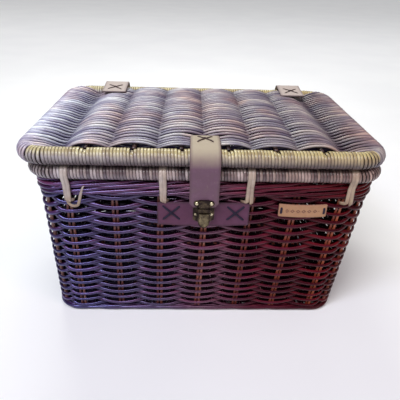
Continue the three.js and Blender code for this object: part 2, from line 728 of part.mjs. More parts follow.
// ---------------------------------------------------------------- clasp
// A round cutter along Y, from in front of the clasp to behind it.
function rivetHole(x, z, shank) {
  const hole = new THREE.CylinderGeometry(shank + GAP, shank + GAP, CUT_BACK_Y - CUT_FRONT_Y, HOLE_SIDES);
  return toSolid(hole.translate(x, (CUT_FRONT_Y + CUT_BACK_Y) / 2, z));
}

function earHoles() {
  return [-1, 1].map((side) => rivetHole(STRAP_X + side * EAR_X, EAR_Z, RIVET_SHANK));
}

// A shield outline in (x, z): straight across the top, round at the bottom.
function shield(half, low, shoulder, high) {
  const points = [[half, high], [-half, high]];
  const steps = 8;
  for (let i = 0; i <= steps; i += 1) {
    const angle = Math.PI * i / steps;
    points.push([-half * Math.cos(angle), shoulder - (shoulder - low) * Math.sin(angle)]);
  }
  return points.map(([x, z]) => [STRAP_X + x, z]);
}

// The folded brass case: a shield-shaped body, a brow and two riveted ears over the end of the strap.
function buildCase() {
  const outline = shield(CASE_HALF, CASE_LOW, CASE_SHOULDER, CASE_HIGH);
  const seat = STRAP_FRONT_Y - GAP;
  const body = facePlate(outline, CASE_FRONT_Y, STRAP_BACK_Y);
  const brow = block(-BROW_HALF, BROW_HALF, STRAP_FRONT_Y - BROW_DEPTH, seat, BROW_LOW, BROW_HIGH);
  const plate = block(-EAR_X, EAR_X, seat - EAR_THICK, seat, EAR_PLATE_LOW, EAR_Z + EAR_RADIUS);
  const ears = [-1, 1].map((side) => {
    const ear = new THREE.CylinderGeometry(EAR_RADIUS, EAR_RADIUS, EAR_THICK, 20);
    return ear.translate(STRAP_X + side * EAR_X, seat - EAR_THICK / 2, EAR_Z);
  });
  const whole = union([body, brow, plate, ...ears].map(toSolid));
  const underStrap = block(-20, 20, seat, CUT_BACK_Y, STRAP_END_Z - 2 * GAP - 0.1, BROW_HIGH + 1);
  const pocketFront = STRAP_FRONT_Y - POCKET_DEPTH;
  const pocket = block(-POCKET_HALF, POCKET_HALF, pocketFront, CUT_BACK_Y, CASE_LOW - 1, POCKET_HIGH);
  const slot = block(-SLOT_HALF, SLOT_HALF, CUT_FRONT_Y, STRAP_FRONT_Y, SLOT_LOW, SLOT_HIGH);
  const cuts = [pocket, slot, underStrap].map(toSolid);
  add('clasp_case', toGeometry(minus(whole, [...cuts, ...earHoles()])), BRASS, 0.35, 0.9);
}

// The push button: a shield with a ridge down its middle, and a stem that runs in the slot of the case.
function buildButton() {
  const back = CASE_FRONT_Y - GAP;
  const front = back - BUTTON_THICK;
  const face = toSolid(facePlate(shield(BUTTON_HALF, BUTTON_LOW, BUTTON_SHOULDER, BUTTON_HIGH), front, back));
  const wide = BUTTON_HALF + 2;
  const edge = back - BUTTON_EDGE;
  const behind = back + 1;
  const roofLine = line2([[-wide, behind], [-wide, edge], [0, front], [wide, edge], [wide, behind]]);
  const roofLength = 2 * (BUTTON_HIGH - BUTTON_LOW);
  const roofShape = new THREE.Shape(roofLine);
  const roof = new THREE.ExtrudeGeometry(roofShape, { depth: roofLength, bevelEnabled: false });
  roof.translate(STRAP_X, 0, BUTTON_LOW - 5);
  const stemLow = SLOT_LOW + GAP + BUTTON_TRAVEL;
  const stem = block(-STEM_HALF, STEM_HALF, back - 0.5, STRAP_FRONT_Y - STEM_DEPTH, stemLow, STEM_HIGH);
  const button = face.intersect(toSolid(roof)).add(toSolid(stem));
  add('clasp_button', toGeometry(button), BRIGHT_BRASS, 0.3, 0.95);
}

// A turned rivet: a domed head on a plain shank, its head facing -Y.
function rivet(head, headHigh, shank, length) {
  const profile = line2([[0, -length], [shank, -length], [shank, 0]]);
  const steps = 4;
  for (let i = 0; i <= steps; i += 1) {
    const angle = Math.PI / 2 * i / steps;
    profile.push(new THREE.Vector2(head * Math.cos(angle), headHigh * Math.sin(angle)));
  }
  profile[profile.length - 1].x = 0;
  return new THREE.LatheGeometry(profile, RIVET_SIDES).rotateX(Math.PI);
}

function buildRivets() {
  const seat = STRAP_FRONT_Y - GAP - EAR_THICK - GAP;
  [-1, 1].forEach((side) => {
    const name = side < 0 ? 'left' : 'right';
    const body = rivet(RIVET_HEAD, RIVET_HEAD_HIGH, RIVET_SHANK, EAR_THICK + LEATHER + GAP);
    add(`clasp_rivet_${name}`, body.translate(STRAP_X + side * EAR_X, seat, EAR_Z), BRIGHT_BRASS, 0.3, 0.95);
  });
}

// The striker: a cut-cornered plate on the patch, with the hooked post that the clasp closes on.
function buildStriker() {
  const back = PATCH_BACK - LEATHER - GAP;
  const front = back - STRIKER_THICK;
  const cutX = STRIKER_HALF - STRIKER_CUT_X;
  const right = [
    [cutX, STRIKER_LOW],
    [STRIKER_HALF, STRIKER_LOW + STRIKER_CUT_LOW],
    [STRIKER_HALF, STRIKER_HIGH - STRIKER_CUT_HIGH],
    [cutX, STRIKER_HIGH],
  ];
  const left = [...right].reverse().map(([x, z]) => [-x, z]);
  const plate = facePlate([...right, ...left], front, back);
  const post = block(-POST_HALF, POST_HALF, HOOK_FRONT_Y, front + STRIKER_THICK / 3, POST_LOW, POST_HIGH);
  const hook = block(-HOOK_HALF, HOOK_HALF, HOOK_FRONT_Y, HOOK_BACK_Y, POST_LOW, HOOK_HIGH);
  const holes = [-1, 1].map((side) => rivetHole(side * STRIKER_RIVET_X, STRIKER_RIVET_Z, STRIKER_SHANK));
  add('striker', toGeometry(minus(union([plate, post, hook].map(toSolid)), holes)), BRASS, 0.4, 0.9);
  [-1, 1].forEach((side) => {
    const name = side < 0 ? 'left' : 'right';
    const body = rivet(STRIKER_RIVET_HEAD, STRIKER_RIVET_HIGH, STRIKER_SHANK, STRIKER_THICK + GAP);
    body.translate(side * STRIKER_RIVET_X, front - GAP, STRIKER_RIVET_Z);
    add(`striker_rivet_${name}`, body, BRIGHT_BRASS, 0.3, 0.95);
  });
}

buildBase();
buildSides();
buildRim();
buildTies();
buildLidFrame();
buildLidWeave();
buildHinges();
buildStrap();
buildFrontLeathers();
buildCase();
buildButton();
buildRivets();
buildStriker();

export default basket;
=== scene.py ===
"""Looks of the lidded wicker basket: every rod, cane turn, leather and stitch, built round the CAD frame."""

import json
import math

import bpy
import numpy as np
from mathutils import Matrix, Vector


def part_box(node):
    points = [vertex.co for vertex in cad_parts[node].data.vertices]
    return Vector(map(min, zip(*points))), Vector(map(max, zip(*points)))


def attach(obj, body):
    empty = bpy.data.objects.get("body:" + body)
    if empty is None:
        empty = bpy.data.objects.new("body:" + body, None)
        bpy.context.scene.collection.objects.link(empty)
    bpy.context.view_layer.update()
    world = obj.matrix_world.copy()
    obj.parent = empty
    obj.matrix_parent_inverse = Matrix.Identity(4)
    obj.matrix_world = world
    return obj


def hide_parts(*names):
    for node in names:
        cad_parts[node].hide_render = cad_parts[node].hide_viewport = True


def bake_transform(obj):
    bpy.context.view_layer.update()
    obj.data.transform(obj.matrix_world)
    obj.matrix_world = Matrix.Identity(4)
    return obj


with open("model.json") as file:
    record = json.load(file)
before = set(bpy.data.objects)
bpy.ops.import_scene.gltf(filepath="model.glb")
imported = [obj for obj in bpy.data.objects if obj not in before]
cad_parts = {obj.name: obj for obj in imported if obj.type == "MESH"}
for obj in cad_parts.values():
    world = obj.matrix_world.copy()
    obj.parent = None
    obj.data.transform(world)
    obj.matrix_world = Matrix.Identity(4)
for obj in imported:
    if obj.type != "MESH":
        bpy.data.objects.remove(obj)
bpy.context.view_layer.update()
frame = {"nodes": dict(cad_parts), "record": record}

MM = 0.001
TAU = 2 * math.pi
UP = np.array([0.0, 0.0, 1.0])
RIGHT = np.array([1.0, 0.0, 0.0])
BACK = np.array([0.0, 1.0, 0.0])
SECTION_FLAT = math.cos(math.pi / 10)  # a ten-sided CAD hoop measures this share of a round one
rng = np.random.default_rng(7)

# ---- sizes read from the frame


def corners(node):
    low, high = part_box(node)
    return np.array(low), np.array(high)


def middle(node):
    low, high = corners(node)
    return (low + high) / 2


def half_size(node):
    low, high = corners(node)
    return (high - low) / 2


FOOT_MID, FOOT_HALF = middle("foot_border"), half_size("foot_border")
WALL_MID, WALL_HALF = middle("side_weave"), half_size("side_weave")
WALL_TOP = corners("side_weave")[1][2]
BAND_MID, BAND_HALF = middle("top_band"), half_size("top_band")
RIM_MID, RIM_HALF = middle("rim_wrap"), half_size("rim_wrap")
RIM_RADIUS = RIM_HALF[2] / SECTION_FLAT
RIM_LINE = RIM_HALF[:2] - RIM_RADIUS
HOOP_MID, HOOP_HALF = middle("lid_frame"), half_size("lid_frame")
HOOP_CORE = HOOP_HALF[2] / SECTION_FLAT
HOOP_WRAP = half_size("lid_wrap_front")[2] / SECTION_FLAT
HOOP_Z = HOOP_MID[2]
HOOP_LINE = HOOP_HALF[:2] - HOOP_CORE

WALL_CORNER = 36 * MM
RIM_CORNER = 40 * MM - RIM_RADIUS
HOOP_CORNER = 42 * MM - HOOP_WRAP

# ---- curves

CORNER_POINTS = 25
SEARCH_POINTS = 4000


def unit(v):
    return v / np.maximum(np.linalg.norm(v, axis=-1, keepdims=True), 1e-12)


def ease(t):
    t = np.clip(t, 0, 1)
    return t * t * (3 - 2 * t)


def runs_along(points):
    """Length from the start of a line to each of its points."""
    return np.concatenate([[0], np.cumsum(np.linalg.norm(np.diff(points, axis=0), axis=1))])


def resample(points, step):
    points = np.asarray(points, float)
    run = runs_along(points)
    s = np.linspace(0, run[-1], int(run[-1] / step) + 1)
    return np.column_stack([np.interp(s, run, column) for column in points.T])


def rounded(points, passes):
    """Softens the bends of a line, keeping its ends."""
    for _ in range(passes):
        inner = (points[:-2] + 2 * points[1:-1] + points[2:]) / 4
        points = np.concatenate([points[:1], inner, points[-1:]])
    return points


def between_knots(knots, t):
    """Soft curve through knots at whole numbers, which repeat past the last."""
    low = np.floor(t).astype(int)
    k = ease(t - low)
    return knots[low % len(knots)] * (1 - k) + knots[(low + 1) % len(knots)] * k


def smooth_noise(x, scale, source, size=64):
    """Soft random wander, about -1 to 1, along x."""
    return between_knots(source.uniform(-1, 1, size), x / scale)


class Loop:
    """A rounded rectangle walked by length: from mid back, by the left end, the front and the right end."""

    def __init__(self, half_x, half_y, corner, centre):
        rows = [[0, half_y, 0, 1]]
        for quarter, (side_x, side_y) in enumerate(((-1, 1), (-1, -1), (1, -1), (1, 1))):
            for angle in np.radians(90 + 90 * quarter + np.linspace(0, 90, CORNER_POINTS)):
                c, s = math.cos(angle), math.sin(angle)
                x = side_x * (half_x - corner) + corner * c
                y = side_y * (half_y - corner) + corner * s
                rows.append([x, y, c, s])
        rows.append([0, half_y, 0, 1])
        self.rows = np.array(rows)
        self.rows[:, :2] += centre[:2]
        self.runs = runs_along(self.rows[:, :2])
        self.length = self.runs[-1]

    def at(self, s):
        """Points (x, y) and outward normals at lengths s."""
        s = np.mod(s, self.length)
        x, y, nx, ny = (np.interp(s, self.runs, column) for column in self.rows.T)
        return np.stack([x, y], -1), unit(np.stack([nx, ny], -1))

    def nearest(self, x, y):
        s = np.linspace(0, self.length, SEARCH_POINTS, endpoint=False)
        points = self.at(s)[0]
        return float(s[np.argmin(np.hypot(points[:, 0] - x, points[:, 1] - y))])


# ---- mesh bundles

GRAIN_RADIUS = 2.5 * MM
STRIP_LANES = 12
STRIP_EDGE = 0.42
WORN_EDGE = 2.2 * MM


class Bundle:
    """Many swept rods or strips gathered into one mesh, with the attributes that their material reads:
    grain is the place along and round a rod, tone differs rod by rod, and deep is the depth under the
    crests of the weave, where the materials paint shade."""

    def __init__(self):
        self.points, self.faces, self.grain, self.tone, self.deep = [], [], [], [], []
        self.count = 0

    def skin(self, body, grain, tone, deep, closed=False):
        """Joins rings of points into a tube, and fills its two ends if it isn't closed."""
        n, sides = body.shape[:2]
        self.points.append(body.reshape(-1, 3))
        self.grain.append(grain.reshape(-1, 3))
        self.tone.append(np.broadcast_to(tone, (n, sides)).reshape(-1))
        self.deep.append(np.broadcast_to(deep, (n, sides)).reshape(-1))
        index = np.arange(n * sides).reshape(n, sides) + self.count
        behind, ahead = (index, np.roll(index, -1, 0)) if closed else (index[:-1], index[1:])
        quads = np.stack([behind, ahead, np.roll(ahead, -1, 1), np.roll(behind, -1, 1)], -1)
        self.faces.extend(quads.reshape(-1, 4).tolist())
        if not closed:
            self.faces += [index[0].tolist(), index[-1][::-1].tolist()]
        self.count += n * sides

    def sweep(self, points, out, radius, thin=1.0, sides=8, closed=False, tone=None, depth=0.0):
        """A rod along points. out is the direction of its thin side, thin the share of its width that this
        side has, and depth how far its middle lies under the crests of the weave."""
        points = np.asarray(points, float)
        n = len(points)
        out = np.broadcast_to(out, (n, 3))
        radius = np.broadcast_to(radius, (n,))[:, None]
        if closed:
            along = np.roll(points, -1, 0) - np.roll(points, 1, 0)
        else:
            along = np.gradient(points, axis=0)
        along = unit(along)
        lift = unit(out - along * np.sum(out * along, -1, keepdims=True))
        side = np.cross(along, lift)
        angle = np.arange(sides) / sides * TAU
        c, s = np.cos(angle), np.sin(angle)
        ring = lift[:, None] * (c * thin)[None, :, None] + side[:, None] * s[None, :, None]
        grain = np.empty((n, sides, 3))
        grain[..., 0] = runs_along(points)[:, None] + rng.uniform(0, 9)
        grain[..., 1] = c * GRAIN_RADIUS
        grain[..., 2] = s * GRAIN_RADIUS
        shade = rng.uniform(0, 1) if tone is None else tone
        deep = np.broadcast_to(depth, (n,))[:, None] - c * thin * radius
        self.skin(points[:, None] + ring * radius[..., None], grain, shade, deep, closed)

    def strip(self, path, across, normal, half_width, thickness):
        """A leather strip with rounded edges. across is its width direction, normal points out of its good
        side, and its tone falls to 0 at its edges."""
        n = len(path)
        normal = np.broadcast_to(normal, (n, 3))[:, None]
        half_width = np.broadcast_to(half_width, (n,))[:, None]
        edge = STRIP_EDGE * thickness
        turn = np.radians(np.linspace(60, -60, 5))
        share = np.concatenate([np.linspace(-1, 1, STRIP_LANES), np.ones(len(turn))])
        lift = np.concatenate([np.ones(STRIP_LANES), np.sin(turn)]) * thickness / 2
        bulge = np.concatenate([np.zeros(STRIP_LANES), np.cos(turn)]) * edge
        share, lift = (np.concatenate([part, -part])[::-1] for part in (share, lift))
        offset = share * (half_width - edge + np.tile(bulge, 2)[::-1])
        body = path[:, None] + across * offset[..., None] + normal * lift[:, None]
        run = runs_along(path)[:, None]
        near = np.minimum(half_width - np.abs(offset), np.minimum(run, run[-1] - run))
        grain = np.stack(np.broadcast_arrays(run, offset, lift), -1)
        self.skin(body, grain, np.minimum(near / WORN_EDGE, 1.0), 0.0)

    def build(self, name, material, replaces, body="basket", slot=None, joined=None):
        """Makes the piece on one body or, when joined is given, on no body with its place baked into its
        mesh.
        joined is two bodies and where the blend starts and ends; only whether it is given is read."""
        mesh = bpy.data.meshes.new(name)
        mesh.from_pydata(np.concatenate(self.points).tolist(), [], self.faces)
        for key, kind, field, values in (
            ("grain", "FLOAT_VECTOR", "vector", self.grain),
            ("tone", "FLOAT", "value", self.tone),
            ("deep", "FLOAT", "value", self.deep),
        ):
            attribute = mesh.attributes.new(key, kind, "POINT")
            attribute.data.foreach_set(field, np.concatenate(values).astype(np.float32).ravel())
        mesh.polygons.foreach_set("use_smooth", [True] * len(mesh.polygons))
        mesh.materials.append(material)
        mesh.validate()
        obj = bpy.data.objects.new(name, mesh)
        bpy.context.collection.objects.link(obj)
        if not joined:
            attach(obj, body)
        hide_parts(*replaces)
        if joined:
            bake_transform(obj)


# ---- material tools


class Nodes:
    """Short ways to add and join shader nodes. colour is the surface's colour so far."""

    def __init__(self, name):
        self.material = bpy.data.materials.new(name)
        self.material.use_nodes = True
        self.tree = self.material.node_tree
        self.shader = self.tree.nodes["Principled BSDF"]
        self.colour = None

    def put(self, value, socket):
        """Joins a node's output to a socket, or sets the socket itself."""
        if isinstance(value, bpy.types.NodeSocket):
            self.tree.links.new(value, socket)
        elif isinstance(value, tuple) and socket.type == "RGBA":
            socket.default_value = (*value, 1)
        else:
            socket.default_value = value

    def fill(self, node, inputs):
        for key, value in inputs.items():
            self.put(value, node.inputs[key.replace("_", " ")])
        return node

    def add(self, kind, **inputs):
        return self.fill(self.tree.nodes.new(kind), inputs)

    def surface(self, **inputs):
        self.fill(self.shader, inputs)

    def attribute(self, name, output="Fac"):
        node = self.tree.nodes.new("ShaderNodeAttribute")
        node.attribute_name = name
        return node.outputs[output]

    def place(self):
        return self.tree.nodes.new("ShaderNodeTexCoord").outputs["Object"]

    def parts(self, vector):
        return self.add("ShaderNodeSeparateXYZ", Vector=vector).outputs[:3]

    def noise(self, vector, scale, detail=4.0, rough=0.55):
        """Noise in 0 to 1. A scale of three numbers stretches it."""
        if isinstance(scale, tuple):
            vector = self.add("ShaderNodeMapping", Vector=vector, Scale=scale).outputs["Vector"]
            scale = 1.0
        node = self.add("ShaderNodeTexNoise", Vector=vector, Scale=scale, Detail=detail, Roughness=rough)
        return node.outputs["Fac"]

    def pebbles(self, vector, scale, feature="F1"):
        node = self.add("ShaderNodeTexVoronoi", Vector=vector, Scale=scale)
        node.feature = feature
        return node.outputs["Distance"]

    def ramp(self, value, stops):
        node = self.add("ShaderNodeValToRGB", Fac=value)
        band = node.color_ramp
        band.interpolation = "EASE"
        while len(band.elements) < len(stops):
            band.elements.new(0.5)
        for element, (at, colour) in zip(band.elements, stops):
            element.position = at
            element.color = (*colour, 1)
        return node.outputs["Color"]

    def range(self, value, low, high, to_low=0.0, to_high=1.0):
        ends = {"From Min": low, "From Max": high, "To Min": to_low, "To Max": to_high}
        return self.fill(self.add("ShaderNodeMapRange", Value=value), ends).outputs["Result"]

    def maths(self, kind, a, b=0.0):
        node = self.tree.nodes.new("ShaderNodeMath")
        node.operation = kind
        self.put(a, node.inputs[0])
        self.put(b, node.inputs[1])
        return node.outputs[0]

    def mix(self, factor, a, b, kind="MIX"):
        node = self.tree.nodes.new("ShaderNodeMix")
        node.data_type = "RGBA"
        node.blend_type = kind
        for socket, value in ((0, factor), (6, a), (7, b)):
            self.put(value, node.inputs[socket])
        return node.outputs[2]

    def cover(self, factor, paint):
        self.colour = self.mix(factor, self.colour, paint)

    def tint(self, factor, by):
        self.colour = self.mix(factor, self.colour, by, "MULTIPLY")

    def finish(self, rough, *bumps):
        """Joins the colour, the roughness and each bump, given as height, strength and distance."""
        self.surface(Base_Color=self.colour, Roughness=rough)
        normal = None
        for height, strength, distance in bumps:
            bump = self.add("ShaderNodeBump", Height=height, Strength=strength, Distance=distance)
            if normal is not None:
                self.put(normal, bump.inputs["Normal"])
            normal = bump.outputs["Normal"]
        if normal is not None:
            self.surface(Normal=normal)
        return self.material


# ---- materials

COLOUR_REACH = 200 * MM  # painted light shifts evenly from cool this far left of the middle to warm this far right
TURNS_PER_METRE = 17.0  # a metre of cane goes about this often round a hoop
THREAD_TWIST = (2600.0, 700.0)
LOZENGE = 7.5 * MM
LOZENGE_TALL = 0.9
LOZENGE_ROW = 0.70


def across_basket(n, where):
    """0 at the left end of the basket, 1 at the right end."""
    return n.range(n.parts(where)[0], -COLOUR_REACH, COLOUR_REACH)


def willow(
    name, stops, worn, rough, coat, streak=0.5, vary=0.25, ends=None, left_bend=1.0, sheen=None, flank=None,
    shadow=(0.06, 0.045, 0.08), sunk_mm=(3.4, 7.2), patches=0.0, under=0.0, dark_below=None, ior=1.5,
    coat_rough=0.15,
):
    """Stained, varnished willow rod: tone differs rod by rod, grain runs along the rod, and the stain is
    rubbed in places. Painted light shifts its colour and the tint of its reflections from end to end of the
    basket, and painted shade darkens it and dulls its gloss where a rod goes under its neighbours."""
    n = Nodes(name)
    where = n.place()
    grain = n.attribute("grain", "Vector")
    deep = n.attribute("deep")
    blotch = n.noise(grain, (28, 60, 60), 3.0)
    n.colour = n.ramp(n.maths("ADD", n.attribute("tone"), n.range(blotch, 0.3, 0.7, -vary, vary)), stops)
    # painted light: the colour goes from cool at the left end of the basket to warm at the right
    if ends:
        along = n.maths("POWER", across_basket(n, where), left_bend)
        n.tint(1.0, n.mix(along, *ends))
    # painted reflection colour: the specular tint goes from blue at the left end of the basket to dark red at
    # the right
    if sheen:
        n.surface(Specular_Tint=n.ramp(along, sheen))
    streaks = n.noise(grain, (45, 900, 900), 5.0, 0.6)
    n.tint(n.range(streaks, 0.35, 0.72, 0.0, streak), (0.45, 0.36, 0.40))
    rubbed = n.noise(grain, (70, 260, 260), 6.0, 0.7)
    n.cover(n.range(rubbed, 0.62, 0.8, 0.0, 0.7), worn)
    # painted light: warmer and lighter on the rod's flanks, where it turns in from its crest
    if flank:
        n.tint(n.range(deep, 0.5 * MM, 3.5 * MM), flank)
    # painted shade: darker where the rod lies deep in the weave, under its neighbours
    sunk = n.range(deep, sunk_mm[0] * MM, sunk_mm[1] * MM)
    n.tint(sunk, shadow)
    if patches:
        n.tint(n.range(n.noise(where, 13.0, 2.0), 0.47, 0.66, 0.0, patches), WARM_STAIN)
        n.tint(n.range(n.noise(where, (24, 40, 30), 3.0), 0.50, 0.68, 0.0, patches), COOL_STAIN)
    # painted shade on the lower side of each rod
    if under:
        n.tint(n.range(n.parts(grain)[2], -1.4 * MM, 1.5 * MM, 0.0, under), UNDER_SHADE)
    # painted shade: darker and bluer from a little above the hoop's middle down round its underside
    if dark_below:
        n.tint(n.range(n.parts(where)[2], dark_below - 8 * MM, dark_below + 9 * MM, 0.95, 0.0), LID_LOW_SHADE)
    fine = n.noise(grain, (160, 2600, 2600), 3.0)
    knots = n.noise(grain, (22, 35, 35), 2.0)
    # the painted shade also takes the coat and the specular away where the rod lies deep
    n.surface(Coat_Weight=n.range(sunk, 0.0, 1.0, coat, coat * 0.15), Coat_Roughness=coat_rough)
    n.surface(Specular_IOR_Level=n.range(sunk, 0.0, 1.0, 0.5, 0.05), IOR=ior)
    gloss = n.range(streaks, 0.3, 0.75, rough - 0.08, rough + 0.14)
    return n.finish(gloss, (knots, 0.3, 0.9 * MM), (streaks, 0.3, 0.25 * MM), (fine, 0.12, 0.06 * MM))


def cane(name, stops, belly, shade, levels, ends, edging=0.85, turn_share=0.55):
    """Split cane binding: straw on top, with painted shade below, dusky on its belly and dark lower down, at
    the heights in levels. Each turn has a tone of its own, and fibres run along it."""
    n = Nodes(name)
    where = n.place()
    grain = n.attribute("grain", "Vector")
    run, _, width = n.parts(grain)
    turn = n.add("ShaderNodeTexWhiteNoise")
    turn.noise_dimensions = "1D"
    n.fill(turn, {"W": n.maths("FLOOR", n.maths("MULTIPLY", run, TURNS_PER_METRE))})
    soft = n.noise(grain, (35, 40, 40), 3.0)
    own = n.maths("MULTIPLY", turn.outputs["Value"], turn_share)
    n.colour = n.ramp(n.maths("ADD", own, n.range(soft, 0.25, 0.75, 0.0, 1.0 - turn_share)), stops)
    along = across_basket(n, where)
    height = n.maths("ADD", n.parts(where)[2], n.range(soft, 0.3, 0.7, -1.5 * MM, 1.5 * MM))
    # painted light and shade: the belly turns dusky, in a colour that changes from the left end of the basket
    # to the right, and the cane is dark below it
    dusky = n.mix(0.8 * turn_share, n.mix(along, *belly), n.colour)
    dusky = n.mix(1.0, dusky, (0.95, 0.95, 0.95), "MULTIPLY")
    n.cover(n.range(height, levels[1], levels[2], 1.0, 0.0), dusky)
    n.cover(n.range(height, levels[0], levels[1], 0.9, 0.0), shade)
    fibres = n.noise(grain, (40, 1500, 1500), 4.0, 0.6)
    n.tint(n.range(fibres, 0.4, 0.7, 0.0, 0.55), (0.6, 0.52, 0.5))
    # painted light: cooler at the left end of the basket, warmer at the right
    n.tint(1.0, n.mix(along, *ends))
    # painted shade at the edges of each strip, where it meets the next turn
    n.tint(n.range(n.maths("ABSOLUTE", width), 1.2 * MM, 2.2 * MM, 0.0, edging), (0.12, 0.08, 0.10))
    n.tint(n.range(n.noise(where, 75.0, 4.0, 0.6), 0.45, 0.7, 0.0, 0.6), (0.55, 0.45, 0.5))
    n.surface(Coat_Weight=0.5, Coat_Roughness=0.2)
    return n.finish(n.range(fibres, 0.3, 0.7, 0.34, 0.57), (fibres, 0.5, 0.2 * MM))


def leather(name, main, light, dark_edge, light_z=None):
    """Tanned leather: pebbled grain, creases, burnished dark edges, and paler towards its top where it has
    one.
    """
    n = Nodes(name)
    grain = n.attribute("grain", "Vector")
    mottled = n.noise(grain, 90.0, 5.0, 0.6)
    n.colour = n.mix(n.range(mottled, 0.35, 0.68, 0.0, 0.55), main, tuple(0.72 * c for c in main))
    if light_z:
        height = n.parts(n.place())[2]
        n.cover(n.maths("ADD", n.range(height, *light_z), n.range(mottled, 0.3, 0.7, -0.08, 0.08)), light)
    else:
        n.cover(n.range(mottled, 0.55, 0.75, 0.0, 0.35), light)
    n.cover(n.range(n.noise(grain, (140, 420, 140), 6.0, 0.7), 0.6, 0.78, 0.0, 0.35), light)
    n.cover(n.range(n.attribute("tone"), 0.15, 1.0, 0.85, 0.0), dark_edge)
    creases = n.noise(grain, (60, 240, 60), 5.0)
    pebbles = n.pebbles(grain, 950.0, "SMOOTH_F1")
    n.surface(Specular_IOR_Level=0.4)
    rough = n.range(mottled, 0.3, 0.7, 0.54, 0.72)
    return n.finish(rough, (creases, 0.35, 0.6 * MM), (pebbles, 0.35, 0.25 * MM))


def label_leather(half):
    """Light tan leather with a row of pressed lozenges along its middle. half is half its length."""
    n = Nodes("label_leather")
    grain = n.attribute("grain", "Vector")
    mottled = n.noise(grain, 120.0, 5.0, 0.6)
    n.colour = n.mix(n.range(mottled, 0.3, 0.7, 0.0, 0.6), (0.42, 0.225, 0.118), (0.32, 0.155, 0.080))
    run, across, _ = n.parts(grain)
    cell = n.maths("SUBTRACT", n.maths("FRACT", n.maths("DIVIDE", run, LOZENGE)), 0.5)
    tall = n.maths("ABSOLUTE", n.maths("DIVIDE", across, LOZENGE * LOZENGE_TALL))
    from_centre = n.maths("ADD", n.maths("ABSOLUTE", cell), tall)
    outer = n.range(from_centre, 0.38, 0.45, 1.0, 0.0)
    inner = n.range(from_centre, 0.13, 0.18, 1.0, 0.0)
    line = n.maths("SUBTRACT", outer, inner)
    from_middle = n.maths("ABSOLUTE", n.maths("SUBTRACT", run, half))
    row = n.range(from_middle, half * LOZENGE_ROW, half * (LOZENGE_ROW + 0.01), 1.0, 0.0)
    lozenge = n.maths("MULTIPLY", line, row)
    n.cover(n.maths("MULTIPLY", lozenge, 0.85), (0.17, 0.068, 0.040))
    n.cover(n.range(n.attribute("tone"), 0.1, 0.8, 0.8, 0.0), (0.28, 0.13, 0.085))
    pressed = n.maths("MULTIPLY", lozenge, -1.0)
    return n.finish(0.55, (pressed, 0.8, 0.5 * MM), (n.pebbles(grain, 1100.0), 0.25, 0.15 * MM))


def waxed_thread(name, dark, light):
    n = Nodes(name)
    grain = n.attribute("grain", "Vector")
    run, across, _ = n.parts(grain)
    turns = (n.maths("MULTIPLY", part, speed) for part, speed in zip((run, across), THREAD_TWIST))
    twist = n.maths("SINE", n.maths("ADD", *turns))
    fibre = n.noise(grain, (900, 2500, 2500))
    n.colour = n.mix(n.range(fibre, 0.35, 0.7, 0.0, 0.6), dark, light)
    n.surface(Specular_IOR_Level=0.2)
    return n.finish(0.6, (twist, 0.7, 0.25 * MM), (fibre, 0.3, 0.08 * MM))


def brass(name, clean, tarnish, cover, rough):
    """Antique brass: dark patina in soft clouds, rubbed bright in between, with fine scratches."""
    n = Nodes(name)
    where = n.place()
    clouds = n.noise(where, 130.0, 5.0)
    specks = n.noise(where, 900.0, 3.0, 0.5)
    scratches = n.noise(where, (300, 300, 5200), 3.0)
    mask = n.maths("ADD", clouds, n.range(specks, 0.35, 0.65, -0.07, 0.07))
    mask = n.range(mask, 0.62 - 0.3 * cover, 0.40 - 0.3 * cover)
    n.colour = n.mix(mask, tarnish, clean)
    gloss = n.range(mask, 0.0, 1.0, rough + 0.2, rough)
    gloss = n.maths("ADD", gloss, n.range(scratches, 0.35, 0.7, 0.0, 0.1))
    n.surface(Metallic=0.95)
    return n.finish(gloss, (specks, 0.12, 0.05 * MM), (scratches, 0.1, 0.04 * MM))


def peeled_core():
    """Peeled willow of the hidden hoops, seen only between cane turns."""
    n = Nodes("core_willow")
    streaks = n.noise(n.place(), (120, 120, 900), 5.0)
    n.colour = n.ramp(streaks, ((0.3, (0.030, 0.014, 0.016)), (0.7, (0.085, 0.040, 0.030))))
    return n.finish(0.6, (streaks, 0.4, 0.2 * MM))


def floor_paint():
    n = Nodes("floor_paint")
    n.colour = n.ramp(n.noise(n.place(), 3.0, 2.0), ((0.3, (0.90, 0.90, 0.91)), (0.7, (0.93, 0.93, 0.935))))
    return n.finish(0.9)


WARM_STAIN = (1.06, 0.76, 0.68)
COOL_STAIN = (0.52, 0.52, 0.72)
UNDER_SHADE = (0.22, 0.18, 0.26)
LID_LOW_SHADE = (0.26, 0.23, 0.42)
DARK_STOPS = (
    (0.0, (0.024, 0.005, 0.014)),
    (0.35, (0.048, 0.009, 0.019)),
    (0.7, (0.090, 0.018, 0.026)),
    (1.0, (0.160, 0.040, 0.042)),
)
BAND_STOPS = (
    (0.0, (0.050, 0.013, 0.026)),
    (0.5, (0.115, 0.030, 0.045)),
    (1.0, (0.230, 0.080, 0.090)),
)
LID_STOPS = (
    (0.0, (0.240, 0.220, 0.270)),
    (0.35, (0.345, 0.330, 0.350)),
    (0.7, (0.470, 0.465, 0.440)),
    (1.0, (0.680, 0.690, 0.600)),
)
RIM_CANE_STOPS = (
    (0.0, (0.095, 0.058, 0.062)),
    (0.35, (0.250, 0.180, 0.165)),
    (0.7, (0.440, 0.350, 0.290)),
    (1.0, (0.740, 0.650, 0.580)),
)
